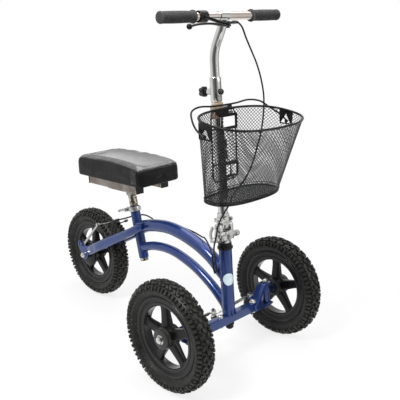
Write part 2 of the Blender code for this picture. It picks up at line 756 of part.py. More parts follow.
def make_fold_head(column):
    """Upper casting: hinge tongue with its trunnions, shoulder and tube socket."""
    shoulder = FOLD_EYE + 0.0010
    tongue = plate(cheek(0, FOLD_EYE - 0.0005, FOLD_EYE - 0.0005, shoulder + 0.006),
                   -CHEEK_INNER + 2 * GAP, CHEEK_INNER - 2 * GAP, "Y")
    for vert in tongue.vertices:
        if vert.co.z < shoulder:
            vert.co.z = -vert.co.z
    head = piece("fold_head", tongue, "cast", column)
    depth = CASTING_DEPTH
    join(head, block((-depth, -0.0245, shoulder), (depth, 0.0245, shoulder + 0.012), 0.003))
    steps = TUBE_STEPS
    hole = bore(COLUMN_RADIUS, steps)
    low, high = shoulder + 0.006, COLUMN_FOOT - 0.046
    socket = [(0, low), (hole + 0.003, low), (hole + 0.003, high + 0.006), (hole + 0.0015, high + 0.014),
              (0, high + 0.014)]
    join(head, turned(socket, steps))
    cut(head, rod(hole, high - GAP, high + 0.03, steps))
    join(head, rod(FOLD_TRUNNION, -CHEEK_OUTER + 0.0005, CHEEK_OUTER - 0.0005, PIN_STEPS, "Y"))


def make_fold_lock(steering, lever_pivot):
    """Skewer with its knurled nut, and the quick-release lever on its end."""
    edge = CHEEK_OUTER + GAP
    outline = [(0, -SKEWER_HEAD), (0.009, -SKEWER_HEAD), (0.0095, -edge), (SKEWER_RADIUS, -edge),
               (SKEWER_RADIUS, edge), (0.0095, edge), (0.0085, 0.034), (0.0065, 0.043),
               (0.0090, 0.044), (0.0090, 0.056), (0.0065, 0.058), (0, 0.058)]
    piece("fold_pin", turned(outline, PIN_STEPS, "Y"), "steel", steering, (0, 0, SKEWER_LEVEL))
    lever = piece("fold_lever", rod(LEVER_BARREL, -0.008, 0.008, PIN_STEPS, "X"), "steel", lever_pivot)
    blade = [(-0.004, -0.002, 0.002), (-0.006, -0.004, 0.014), (-0.004, -0.0035, 0.026),
             (0.002, -0.001, 0.040)]
    join(lever, swept(smooth_path(blade, 7), (0.0055, 0.0028), 8, side=(1, 0, 0)))


# Column, stem and handlebar

def make_column(column):
    """Outer column tube with the clamp boss, and the guide bolt in its front."""
    steps = TUBE_STEPS
    level = KNOB_LEVEL - FOLD_LEVEL
    low = COLUMN_FOOT - 0.046
    top = COLUMN_TOP - FOLD_LEVEL
    inner = COLUMN_RADIUS - COLUMN_WALL
    tube = piece("column_tube", ring(inner, COLUMN_RADIUS, low, top, steps), "chrome", column)
    join(tube, ring(inner + 0.0006, COLUMN_RADIUS + 0.0022, top - 0.066, top - 0.0005, steps))
    boss = rod(0.0085, -COLUMN_RADIUS - BOSS_LENGTH, -COLUMN_RADIUS + 0.0008, PIN_STEPS, "X")
    join(tube, boss, location=(0, 0, level))
    cut(tube, rod(KNOB_STUD + 0.0005, -0.040, 0, PIN_STEPS, "X"), location=(0, 0, level))
    cut(tube, rod(GUIDE_STUD + 0.0004, 0, 0.040, PIN_STEPS, "X"), location=(0, 0, level))
    bolt = [(0, STEM_RADIUS + GAP), (GUIDE_STUD, STEM_RADIUS + GAP), (GUIDE_STUD, COLUMN_RADIUS + 0.0028),
            (0.0085, COLUMN_RADIUS + 0.0028), (0.0090, COLUMN_RADIUS + 0.0055),
            (0.0065, COLUMN_RADIUS + 0.0095), (0, COLUMN_RADIUS + 0.0115)]
    piece("guide_bolt", turned(bolt, PIN_STEPS, "X"), "moulded", column, (0, 0, level))


def make_height_knob(pivot):
    """Star knob whose stud clamps the stem in the column."""
    outline = []
    for i in range(KNOB_LOBES):
        angle = 360 * i / KNOB_LOBES
        for swing, share in ((-18, 0.97), (0, 1.0), (18, 0.97), (36, 0.76)):
            a = math.radians(angle + swing)
            outline.append((KNOB_RADIUS * share * math.cos(a), KNOB_RADIUS * share * math.sin(a)))
    knob = piece("height_knob", plate(outline, -0.007, 0.005, "X"), "moulded", pivot)
    join(knob, turned([(0, 0), (0.0085, 0), (0.0075, 0.012), (0, 0.012)], PIN_STEPS, "X"))
    tip = KNOB_REACH - STEM_RADIUS - GAP
    join(knob, rod(KNOB_STUD, 0, tip, PIN_STEPS, "X"))


def make_stem(stem):
    """Sliding inner tube, gooseneck and handlebar clamp."""
    bar_x, bar_z = BAR_PLACE
    foot = STEM_FOOT
    neck = smooth_path([(0, 0, 0.700), (0.001, 0, 0.722), (0.008, 0, 0.748), (0.021, 0, 0.772),
                        (0.033, 0, 0.794), (0.039, 0, 0.812)], 9)
    route = [(0, 0, foot), (0, 0, 0.690)] + [tuple(p) for p in neck[1:]]
    radius = STEM_RADIUS
    body = piece("stem", swept(route, (radius, radius), TUBE_STEPS, turn=0.5), "chrome", stem)
    cut(body, rod(radius - STEM_WALL, foot - 0.01, 0.700, PIN_STEPS))
    outer = BAR_RADIUS + 0.0062
    join(body, rod(outer, -0.022, 0.022, TUBE_STEPS, "Y"), location=(bar_x, 0, bar_z))
    ear = block((BAR_RADIUS + 0.003, -0.018, -0.008), (BAR_RADIUS + 0.010, 0.018, 0.008), 0.002)
    join(body, ear, location=(bar_x, 0, bar_z))
    cut(body, rod(bore(BAR_RADIUS, TUBE_STEPS), -0.03, 0.03, TUBE_STEPS, "Y"), location=(bar_x, 0, bar_z))


def make_handlebar(stem):
    """Handlebar tube and the two ribbed grips."""
    bar_x, bar_z = BAR_PLACE
    place = (bar_x, 0, bar_z)
    bar = ring(BAR_RADIUS - BAR_WALL, BAR_RADIUS, -BAR_HALF, BAR_HALF, TUBE_STEPS, "Y")
    piece("handlebar", bar, "chrome", stem, place)
    hole = bore(BAR_RADIUS, TUBE_STEPS)
    for side, turn in (("left", 1), ("right", -1)):
        outline = [(hole, GRIP_INNER), (GRIP_FLANGE, GRIP_INNER), (GRIP_FLANGE, GRIP_INNER + 0.004)]
        outline += [(0.0152, GRIP_INNER + 0.006), (0.0160, 0.130), (GRIP_RADIUS, 0.160), (0.0160, 0.195),
                    (GRIP_RADIUS, GRIP_OUTER - 0.006), (0.0140, GRIP_OUTER), (0, GRIP_OUTER),
                    (0, BAR_HALF + GAP), (hole, BAR_HALF + GAP)]
        outline = [(r, y * turn) for r, y in outline]
        piece("grip_" + side, turned(outline, TUBE_STEPS, "Y"), "grip", stem, place)


def make_brake_perch(stem):
    """Clamp on the bar, its arm, the lever pivot and the cable barrel."""
    bar_x, bar_z = BAR_PLACE
    hole = bore(BAR_RADIUS, TUBE_STEPS)
    clamp = rod(BAR_RADIUS + 0.0045, -PERCH_OUTER, -PERCH_INNER, TUBE_STEPS, "Y")
    perch = piece("brake_perch", clamp, "black_metal", stem, (bar_x, 0, bar_z))
    px, py, pz = LEVER_PIVOT
    route = smooth_path([(bar_x + 0.013, -0.080, bar_z - 0.002), (bar_x + 0.024, -0.062, bar_z - 0.010),
                         (px - 0.004, -0.042, pz + 0.001), (px, py, pz), (px - 0.003, -0.008, pz + 0.001),
                         (px - 0.007, 0.006, pz + 0.0015)], 7)
    join(perch, swept(route, (0.0065, 0.0032), 6, side=(1, 0, 0)))
    pin = [(0, -0.0115), (LEVER_PIN_RADIUS, -0.0115), (LEVER_PIN_RADIUS, -0.003), (0.0075, -0.003),
           (0.0075, 0.0035), (0, 0.0035)]
    join(perch, turned(pin, PIN_STEPS), location=(px, py, pz))
    barrel = ring(0.0008, 0.0045, 0, 0.0180, PIN_STEPS, "Y")
    join(perch, barrel, location=(px - 0.0085, 0.002, pz + 0.0018))
    cut(perch, rod(hole, -0.11, -0.05, TUBE_STEPS, "Y"), location=(bar_x, 0, bar_z))


def make_brake_lever(pivot):
    """Lever blade with a ball end, turning on the perch's pivot."""
    px, py, pz = LEVER_PIVOT
    eye = ring(bore(LEVER_PIN_RADIUS, PIN_STEPS), 0.0075, -0.0085, -0.0034, PIN_STEPS)
    lever = piece("brake_lever", eye, "black_metal", pivot)
    tip = Vector(LEVER_TIP) - Vector(LEVER_PIVOT)
    drop = -0.006
    route = smooth_path([(0.001, -0.0055, drop), (0.006, -0.030, drop), (0.010, -0.070, drop),
                         (0.007, -0.110, drop), tuple(tip)], 7)
    join(lever, swept(route, (0.0055, 0.0026), 6, side=(1, 0, 0)))
    ball = [(0, -0.007)] + [(0.007 * math.sin(a), -0.007 * math.cos(a)) for a in (0.6, 1.2, 1.94, 2.54)]
    join(lever, turned(ball + [(0, 0.007)], PIN_STEPS, "Y"), location=tuple(tip))


# Basket

def basket_point(angle, height, grow=0.0):
    """Point on the basket wall; height 0 is the base, 1 the tilted rim."""
    base = superellipse(angle, (BASE_SEMI[0] + grow, BASE_SEMI[1] + grow))
    rim = superellipse(angle, (RIM_SEMI[0] + grow, RIM_SEMI[1] + grow))
    low = Vector((BASE_CENTRE_X + base[0], base[1], BASE_LEVEL))
    high = Vector((RIM_CENTRE_X + rim[0] * math.cos(RIM_TILT), rim[1],
                   RIM_LEVEL + rim[0] * math.sin(RIM_TILT)))
    return low.lerp(high, height)


def basket_origin():
    return Vector((BASE_CENTRE_X, 0, BASE_LEVEL))


def basket_ring(height, count, radius, sides, grow=0.0):
    """Wire hoop round the basket at one height."""
    points = []
    for i in range(count):
        points.append(basket_point(2 * math.pi * i / count, height, grow) - basket_origin())
    return swept(points, (radius, radius), sides, side=(0, 0, 1), closed=True)


def mesh_height(row):
    """Share of the wall's height at which a row of mesh knots lies."""
    return MESH_EDGE + (1 - 2 * MESH_EDGE) * row / MESH_ROWS


def expanded_mesh():
    """Diamond lattice of the wall: columns of diamonds in staggered rows."""
    bm = bmesh.new()
    rows = []
    for j in range(MESH_ROWS + 1):
        row = []
        for i in range(MESH_COLUMNS):
            angle = 2 * math.pi * (i + 0.5 * (j % 2)) / MESH_COLUMNS
            row.append(bm.verts.new(basket_point(angle, mesh_height(j)) - basket_origin()))
        rows.append(row)
    n = MESH_COLUMNS
    for j in range(MESH_ROWS - 1):
        shift = j % 2
        for i in range(n):
            left = rows[j + 1][(i - 1 + shift) % n]
            right = rows[j + 1][(i + shift) % n]
            bm.faces.new((rows[j][i], right, rows[j + 2][i], left))
    for i in range(n):
        bm.faces.new((rows[0][i], rows[0][(i + 1) % n], rows[1][i]))
        last = MESH_ROWS
        shift = (last - 1) % 2
        bm.faces.new((rows[last][(i + shift) % n], rows[last][(i - 1 + shift) % n], rows[last - 1][i]))
    return finished(bm)


def floor_holes():
    """Diamond openings of the floor that lie inside its border."""
    pitch_x, pitch_y, web = 0.030, 0.042, 0.0018
    holes = []
    for row in range(-5, 6):
        for column in range(-8, 9):
            x = pitch_x * row / 2
            y = pitch_y * (column + 0.5 * (row % 2))
            half_x, half_y = pitch_x / 2 - web, pitch_y / 2 - web
            corners = [(x - half_x, y), (x, y - half_y), (x + half_x, y), (x, y + half_y)]
            border = 0.009
            inside = all(abs(u / (BASE_SEMI[0] - border)) ** ROUNDNESS
                         + abs(v / (BASE_SEMI[1] - border)) ** ROUNDNESS < 1 for u, v in corners)
            if inside:
                holes.append(corners)
    return holes


def basket_floor():
    """Floor sheet with its diamond openings."""
    bm = bmesh.new()
    count = 40
    edge = [superellipse(2 * math.pi * i / count, (BASE_SEMI[0] - 0.0036, BASE_SEMI[1] - 0.0036))
            for i in range(count)]
    edges = []
    for loop in [edge] + floor_holes():
        verts = [bm.verts.new((x, y, -0.001)) for x, y in loop]
        edges += [bm.edges.new((a, b)) for a, b in zip(verts, verts[1:] + verts[:1])]
    filled = bmesh.ops.triangle_fill(bm, edges=edges, use_beauty=True, normal=(0, 0, 1))
    faces = [item for item in filled["geom"] if isinstance(item, bmesh.types.BMFace)]
    grown = bmesh.ops.extrude_face_region(bm, geom=faces)
    moved = [item for item in grown["geom"] if isinstance(item, bmesh.types.BMVert)]
    bmesh.ops.translate(bm, verts=moved, vec=(0, 0, MESH_THICKNESS))
    return finished(bm)


def make_basket(basket, bail_pivot):
    """Expanded-metal basket in its wire frame, with the carrying bail."""
    wall = piece("basket_mesh", expanded_mesh(), "black_metal", basket)
    lattice = wall.modifiers.new("lattice", "WIREFRAME")
    lattice.thickness = MESH_THICKNESS
    lattice.use_even_offset = False
    lattice.use_relative_offset = False
    lattice.use_boundary = True
    lattice.use_replace = True
    piece("basket_floor", basket_floor(), "black_metal", basket)
    out = 0.0042
    frame = piece("basket_wires", basket_ring(1.0, 28, WIRE_RADIUS, 4), "black_metal", basket)
    join(frame, basket_ring(0.0, 24, WIRE_RADIUS * 0.9, 4))
    ribs = 6
    for i in range(ribs):
        angle = 2 * math.pi * (i + 0.5) / ribs
        route = [basket_point(angle, h, grow) - basket_origin()
                 for h, grow in ((0.0, out / 2), (0.012, out), (0.988, out), (1.0, out / 2))]
        join(frame, swept(route, (RIB_RADIUS, RIB_RADIUS), 4, side=(0, 0, 1)))
    bx, by, bz = BAIL_PIVOT
    for turn in (1, -1):
        ear = [(-0.020, 0.0315), (0.024, 0.0295)] + arc((0, 0), 0.0085, 10, -190, 8)
        windows = [[(-0.0150, 0.0265), (-0.0035, 0.0260), (-0.0080, 0.0120)],
                   [(0.0170, 0.0245), (0.0035, 0.0255), (0.0085, 0.0115)]]
        place = (bx - BASE_CENTRE_X, 0, bz - BASE_LEVEL)
        wall_y = sorted(((by + 0.0058) * turn, (by + 0.0085) * turn))
        join(frame, plate(ear, *wall_y, "Y", windows), location=place)
        hole_y = sorted(((by - 0.004) * turn, (by + 0.012) * turn))
        cut(frame, rod(BAIL_PIN_RADIUS + 2 * GAP, *hole_y, PIN_STEPS, "Y"), location=place)
    top = 0.059
    back = -0.085
    half = [(0, by + 0.0128, 0), (back * 0.3, by + 0.0126, top * 0.36),
            (back * 0.62, by * 0.97, top * 0.72), (back * 0.86, by * 0.84, top * 0.98),
            (back, by * 0.60, top * 1.04), (back, by * 0.30, top * 0.95)]
    route = half + [(back, 0, top * 0.90)] + [(x, -y, z) for x, y, z in reversed(half)]
    route = [tuple(p) for p in smooth_path(route, 27)]
    bail = piece("basket_bail", swept(route, (WIRE_RADIUS, WIRE_RADIUS), 5, side=(0, 0, 1)), "black_metal",
                 bail_pivot)
    for turn in (1, -1):
        ends = sorted(((by + 0.0045) * turn, (by + 0.0142) * turn))
        join(bail, rod(BAIL_PIN_RADIUS, *ends, PIN_STEPS, "Y"))


def hanger_place(level):
    """Place behind the basket's back wall at a level, clear of its wires."""
    share = (level - BASE_LEVEL) / (RIM_LEVEL - RIM_SEMI[0] * math.sin(RIM_TILT) - BASE_LEVEL)
    wall = MESH_THICKNESS / 2
    clear = HANGER_WIRE + GAP + wall + (WIRE_RADIUS - wall) * share ** 4
    back = basket_point(math.pi, share) - basket_origin()
    return back.x - clear, back.z


def make_hanger(basket, column):
    """Wire hanger on the basket's back and the bracket on the column."""
    wire = (HANGER_WIRE, HANGER_WIRE)
    (low_x, low_z), (high_x, high_z) = hanger_place(HANGER_LEVELS[0]), hanger_place(HANGER_LEVELS[1])
    loop = [(low_x, -HANGER_HALF, low_z), (high_x, -HANGER_HALF, high_z),
            (high_x, HANGER_HALF, high_z), (low_x, HANGER_HALF, low_z)]
    corners = []
    for a, b in zip(loop, loop[1:] + loop[:1]):
        a, b = Vector(a), Vector(b)
        corners += [a.lerp(b, 0.08), a.lerp(b, 0.92)]
    frame = swept(corners, wire, 6, side=(1, 0, 0), closed=True)
    hanger = piece("basket_hanger", frame, "black_metal", basket)
    reach = HANGER_HALF + 0.001
    for level in (basket_point(math.pi, mesh_height(HANGER_MESH_ROW)).z, HANGER_RUNG):
        x, z = hanger_place(level)
        join(hanger, swept([(x, -reach, z), (x, reach, z)], wire, 6, side=(1, 0, 0)))
    level = steer_local(-0.048, 0, BRACKET_LEVEL).z - FOLD_LEVEL
    hole = bore(COLUMN_RADIUS, TUBE_STEPS)
    bracket = piece("basket_bracket", rod(hole + 0.0035, level - 0.012, level + 0.014, TUBE_STEPS),
                    "moulded", column)
    front = hole + 0.0020
    join(bracket, block((front, -0.026, level - 0.010), (BRACKET_FRONT, 0.026, level + 0.008), 0.0010))
    cut(bracket, rod(hole, level - 0.05, level + 0.05, TUBE_STEPS))


# Rear frame

# Middle lines of the two arches, and of the near stay from the point under the rear axle
ARCH_ROUTE = [(-0.404, 0, 0.311), (-0.343, 0, 0.331), (-0.294, 0, 0.342), (-0.247, 0, 0.347),
              (-0.201, 0, 0.344), (-0.157, 0, 0.336), (-0.114, 0, 0.323), (-0.072, 0, 0.303),
              (-0.043, 0, 0.283), (-0.010, 0, 0.252)]
LOW_ROUTE = [(-0.392, 0, 0.240), (-0.356, 0, 0.256), (-0.320, 0, 0.267), (-0.272, 0, 0.274),
             (-0.225, 0, 0.273), (-0.180, 0, 0.263), (-0.135, 0, 0.246), (-0.092, 0, 0.223),
             (-0.050, 0, 0.195), (0.000, 0, 0.152)]
STAY_ROUTE = [(0.297, 0.0300, 0.332), (0.281, 0.0330, 0.325), (0.246, 0.0400, 0.303), (0.218, 0.0420, 0.288),
              (0.192, 0.0430, 0.273), (0.142, 0.0460, 0.246), (0.090, 0.0505, 0.217), (0.047, 0.0515, 0.193),
              (0.021, 0.0525, 0.178)]
STAY_SECTIONS = [(0.006, 0.010), (0.012, 0.013), (STAY_HALF, STAY_HALF), (STAY_HALF, 0.0150),
                 (STAY_HALF, 0.0162), (STAY_HALF, STAY_HEIGHT), (0.0135, STAY_HEIGHT),
                 (0.0085, STAY_HEIGHT), (0.0030, 0.0150)]
STOP_BARREL = [(0.147, -0.0440, 0.3145), (0.169, -0.0430, 0.3245), (0.187, -0.0390, 0.3320)]


def spanned(route):
    """An arch's middle line, stretched to end at the seat tube."""
    stretch = -SEAT_TUBE_TOP[0] / ARCH_REACH
    return [(x * stretch, y, z) for x, y, z in route]


def make_frame_tubes(walker, lean, seat_line):
    """Main arch, lower arch and seat tube, each coped to what it meets."""
    arch = smooth_path(spanned(ARCH_ROUTE), 10)
    main = piece("main_tube", swept(arch, (MAIN_RADIUS, MAIN_RADIUS), 14), "blue", walker)
    low = smooth_path(spanned(LOW_ROUTE), 8)
    lower = piece("lower_tube", swept(low, (LOWER_RADIUS, LOWER_RADIUS), 16), "blue", walker)
    head = rod(HEAD_RADIUS + GAP, HEAD_BOTTOM - 0.02, HEAD_TOP + 0.02, HEAD_STEPS)
    cut(main, head, parent=lean)
    cut(lower, head.copy(), parent=lean)
    beam = BEAM_SIDE / 2 + GAP
    cut(lower, block((-beam, -0.03, BEAM_CENTRE - beam), (beam, 0.03, BEAM_CENTRE + beam)), parent=lean)
    post = rod(SEAT_TUBE_RADIUS + GAP, -SEAT_TUBE_LENGTH - 0.02, 0.02, TUBE_STEPS)
    cut(main, post, parent=seat_line)
    cut(lower, post.copy(), parent=seat_line)
    cut(main, block((-0.10, -0.05, -0.20), (-0.0025, 0.05, 0.05)), parent=seat_line)
    cut(lower, block((-0.10, -0.05, -0.20), (-0.0025, 0.05, 0.05)), parent=seat_line)
    hole = bore(POST_RADIUS, TUBE_STEPS)
    tube = ring(hole, SEAT_TUBE_RADIUS, -SEAT_TUBE_LENGTH, 0, TUBE_STEPS)
    tube = piece("seat_tube", tube, "blue", seat_line)
    cut(tube, block((-0.03, -0.0015, -0.030), (-0.008, 0.0015, 0.01)))


def make_stay(side, turn, rear_foot):
    """Rear stay: round beside the main tube, flattened to its dropout."""
    route = [(x, y * turn, z) for x, y, z in STAY_ROUTE]
    stay = piece("stay_" + side, swept(route, STAY_SECTIONS, 10), "blue", rear_foot)
    plate_y = sorted((DROPOUT_Y * turn, (DROPOUT_Y + DROPOUT_PLATE) * turn))
    outline = [(0.037, 0.199), (0.025, 0.170), (0.015, 0.150)]
    outline += arc((0, AXLE_HEIGHT), 0.017, -60, -170, 5)
    outline += [(-0.037, 0.190), (-0.033, 0.206), (-0.021, 0.202), (-0.012, 0.188), (0.013, 0.196)]
    join(stay, plate(outline, *plate_y, "Y"))
    across = sorted((0.03 * turn, 0.08 * turn))
    cut(stay, rod(bore(AXLE_RADIUS, PIN_STEPS), *across, PIN_STEPS, "Y"), location=(0, 0, AXLE_HEIGHT))
    slot = [(-0.032, 0.199), (-0.027, 0.185), (-0.023, 0.187), (-0.027, 0.201)]
    cut(stay, plate(slot, *across, "Y"))
    inner = sorted((0, (DROPOUT_Y - 0.0005) * turn))
    cut(stay, block((-0.057, inner[0], 0.10), (0.043, inner[1], 0.24)))


def make_rear_axle(rear):
    """Axle with its spacers, nuts and washers."""
    edge = DROPOUT_Y + DROPOUT_PLATE + GAP
    end = edge + REAR_NUT_LENGTH
    spacer = DROPOUT_Y - GAP
    outline = [(0, -end - 0.004), (0.0045, -end - 0.004), (0.0050, -end), (0.0095, -end), (0.0105, -edge),
               (AXLE_RADIUS, -edge), (AXLE_RADIUS, HUB_HALF + GAP), (0.010, HUB_HALF + GAP), (0.010, spacer),
               (AXLE_RADIUS, spacer), (AXLE_RADIUS, edge), (0.0105, edge), (0.0095, end), (0.0050, end),
               (0.0045, end + 0.004), (0, end + 0.004)]
    piece("rear_axle", turned(outline, PIN_STEPS, "Y"), "steel", rear)
    drum_face = HUB_HALF + DRUM_DEPTH
    hole = bore(AXLE_RADIUS, HEAD_STEPS)
    front = -drum_face - 2 * GAP
    outline = [(hole, front), (DRUM_RADIUS + 0.0015, front), (DRUM_RADIUS + 0.005, -drum_face + 0.004),
               (0.043, -drum_face + 0.004), (0.043, -drum_face - 0.0020),
               (0.036, -drum_face - 0.0040), (0.014, -drum_face - 0.0040), (0.014, -DROPOUT_Y + GAP),
               (hole, -DROPOUT_Y + GAP)]
    backing = piece("brake_plate", turned(outline, HEAD_STEPS, "Y"), "black_metal", rear)
    pin = rod(BRAKE_PIN_RADIUS, BRAKE_PLANE - 0.0030, -drum_face - 0.001, PIN_STEPS, "Y")
    join(backing, pin, location=(BRAKE_PIVOT[0], 0, BRAKE_PIVOT[1]))


def make_brake_arm(pivot):
    """Brake arm that the cable pulls forward, with its cable anchor."""
    hole = bore(BRAKE_PIN_RADIUS, PIN_STEPS)
    eye = ring(hole, 0.0080, BRAKE_PLANE - 0.0025, BRAKE_PLANE + 0.0020, PIN_STEPS, "Y")
    arm = piece("brake_arm", eye, "steel", pivot)
    reach = Vector((BRAKE_TIP[0] - BRAKE_PIVOT[0], BRAKE_TIP[1] - BRAKE_PIVOT[1]))
    along = reach.normalized()
    across = Vector((-along.y, along.x))
    outline = [along * 0.0060 - across * 0.0045, reach - across * 0.0028, reach + along * 0.004,
               reach + across * 0.0028, along * 0.0060 + across * 0.0045]
    join(arm, plate([tuple(p) for p in outline], BRAKE_PLANE - 0.0018, BRAKE_PLANE + 0.0014, "Y"))
    anchor = rod(0.0048, BRAKE_PLANE - 0.0065, BRAKE_PLANE + 0.0035, PIN_STEPS, "Y")
    join(arm, anchor, location=(reach.x, 0, reach.y))


def make_seat_clamp(seat_line, lever_pivot):
    """Band round the top of the seat tube, and its quick-release lever."""
    hole = bore(SEAT_TUBE_RADIUS, TUBE_STEPS)
    low, high = CLAMP_LOW, CLAMP_HIGH
    clamp = piece("seat_clamp", ring(hole, hole + 0.0042, low, high, TUBE_STEPS), "steel", seat_line)
    for turn in (1, -1):
        lug = sorted((0.0020 * turn, 0.0085 * turn))
        join(clamp, block((-CLAMP_BOLT_X - 0.006, lug[0], low), (-hole - 0.0015, lug[1], high), 0.001))
    inner, outer = SEAT_TUBE_RADIUS - 0.006, SEAT_TUBE_RADIUS + 0.008
    cut(clamp, block((-outer, -0.0020, low - 0.01), (-inner, 0.0020, high + 0.01)))
    middle = (low + high) / 2
    head = CLAMP_BOLT_HEAD
    bolt = [(0, -head), (0.0065, -head), (0.0065, -0.0080), (0.0028, -0.0080), (0.0028, 0.0080),
            (0.0060, 0.0080), (0.0060, 0.0130), (0.0040, 0.0150), (0, 0.0150)]
    join(clamp, turned(bolt, PIN_STEPS, "Y"), location=(-CLAMP_BOLT_X, 0, middle))
    barrel = rod(CLAMP_BARREL, -0.006, 0.006, PIN_STEPS, "Z")
    lever = piece("seat_clamp_lever", barrel, "steel", lever_pivot)
    blade = [(0, -0.0015, 0), (-0.014, -0.0030, 0.0005), (-0.030, -0.0005, -0.001), (-0.046, 0.004, -0.004)]
    join(lever, swept(smooth_path(blade, 6), (0.0045, 0.0022), 8, side=(0, 0, 1)))


def make_cable_stop(rear_foot):
    """Bracket on the near stay with the barrel that takes the cable."""
    foot = [(0.151, -0.0440, 0.2640), (0.155, -0.0440, 0.2900), (0.163, -0.0435, 0.3130),
            (0.169, -0.0430, 0.3220)]
    stop = piece("cable_stop", swept(smooth_path(foot, 6), (0.0050, 0.0022), 8, side=(1, 0, 0)),
                 "black_metal", rear_foot)
    join(stop, swept(STOP_BARREL, [(0.0034, 0.0034), (0.0045, 0.0045), (0.0045, 0.0045)], 10))
    near = [(x, -y, z) for x, y, z in STAY_ROUTE[3:7]]
    cut(stop, swept(near, [(across + GAP, up + GAP) for across, up in STAY_SECTIONS[3:7]], 14))


# Knee pad

def make_seat(slide, pad):
    """Post, bracket with rails, board and cushion."""
    radius = POST_RADIUS
    outline = [(0, POST_BOTTOM), (radius - 0.002, POST_BOTTOM), (radius, POST_BOTTOM + 0.002),
               (radius, POST_TOP), (radius - 0.002, POST_TOP), (radius - 0.002, POST_BOTTOM + 0.010),
               (0, POST_BOTTOM + 0.010)]
    piece("seat_post", turned(outline, TUBE_STEPS), "chrome", slide)
    rails = piece("seat_frame", block((-RAIL_REACH, RAIL_Y - RAIL_WIDTH / 2, -RAIL_HEIGHT),
                                      (RAIL_REACH, RAIL_Y + RAIL_WIDTH / 2, 0), 0.002), "steel", pad)
    join(rails, block((-RAIL_REACH, -RAIL_Y - RAIL_WIDTH / 2, -RAIL_HEIGHT),
                      (RAIL_REACH, -RAIL_Y + RAIL_WIDTH / 2, 0), 0.002))
    foot, side = -RAIL_HEIGHT - 0.003, RAIL_Y + RAIL_WIDTH / 2 - 0.003
    join(rails, block((-0.025, -side, foot), (0.060, side, foot + 0.009), 0.0015))
    hole = bore(radius, TUBE_STEPS)
    socket = [(0, POST_TOP - 0.026), (hole + 0.0035, POST_TOP - 0.026), (hole + 0.0050, POST_TOP + 0.004),
              (0, POST_TOP + 0.004)]
    join(rails, turned(socket, TUBE_STEPS), parent=slide)
    cut(rails, rod(hole, POST_TOP - 0.05, POST_TOP + GAP, TUBE_STEPS), parent=slide)
    length, width = PAD_HALF_LENGTH - BOARD_MARGIN, PAD_HALF_WIDTH - BOARD_MARGIN
    piece("seat_board", plate(pad_outline(length, width, 0.016), GAP, BOARD_THICKNESS), "board", pad)
    cushion = piece("seat_cushion", cushion_mesh(), "pad", pad)
    recess = pad_outline(length + GAP, width + GAP, 0.016 + GAP)
    cut(cushion, plate(recess, -0.010, BOARD_THICKNESS + GAP))


def pad_outline(half_length, half_width, corner):
    """Rounded rectangle of the knee pad, seen from above."""
    points = []
    for sx, sy, start in ((1, 1, 0), (-1, 1, 90), (-1, -1, 180), (1, -1, 270)):
        centre = (sx * (half_length - corner), sy * (half_width - corner))
        points += arc(centre, corner, start, start + 90, 4)
    middle = []
    for a, b in zip(points, points[1:] + points[:1]):
        middle.append(a)
        span = math.hypot(b[0] - a[0], b[1] - a[1])
        parts = 6 if span > 0.20 else 4 if span > 0.09 else 1
        for k in range(1, parts):
            t = k / parts
            middle.append((a[0] + (b[0] - a[0]) * t, a[1] + (b[1] - a[1]) * t))
    return middle


def pad_top(x, y):
    """Height of the pad's top: a long trough between raised sides."""
    lateral = 1 - min(1, abs(y) / (PAD_HALF_WIDTH - PAD_ROLL)) ** 2
    lengthwise = 1 - 0.15 * min(1, abs(x) / PAD_HALF_LENGTH) ** 2
    return PAD_THICKNESS + GAP - PAD_TROUGH * lateral * lengthwise


def cushion_mesh():
    """Crowned cushion: sides drawn in at the foot, rolled edge and troughed top."""
    base = GAP
    levels = [(0.0060, 0), (0.0010, 0.003), (0, 0.018), (0, 0.038), (0.0015, PAD_THICKNESS - 0.018),
              (0.0065, PAD_THICKNESS - 0.007), (PAD_ROLL, PAD_THICKNESS - 0.002)]
    bm = bmesh.new()
    rings = []
    for inset, height in levels:
        outline = pad_outline(PAD_HALF_LENGTH - inset, PAD_HALF_WIDTH - inset, 0.024 - 0.3 * inset)
        rings.append([bm.verts.new((x, y, base + height)) for x, y in outline])
    for share in (0.86, 0.70, 0.50, 0.28):
        outline = pad_outline(PAD_HALF_LENGTH - PAD_ROLL, PAD_HALF_WIDTH - PAD_ROLL, 0.0198)
        ring_verts = []
        for x, y in outline:
            u, v = x * (0.25 + 0.75 * share), y * share
            ring_verts.append(bm.verts.new((u, v, pad_top(u, v))))
        rings.append(ring_verts)
    count = len(rings[0])
    for first, second in zip(rings, rings[1:]):
        for k in range(count):
            n = (k + 1) % count
            bm.faces.new((first[k], first[n], second[n], second[k]))
    bm.faces.new(rings[0])
    bm.faces.new(rings[-1])
    bmesh.ops.triangulate(bm, faces=[f for f in bm.faces if len(f.verts) > 4])
    return finished(bm)


# Brake cable

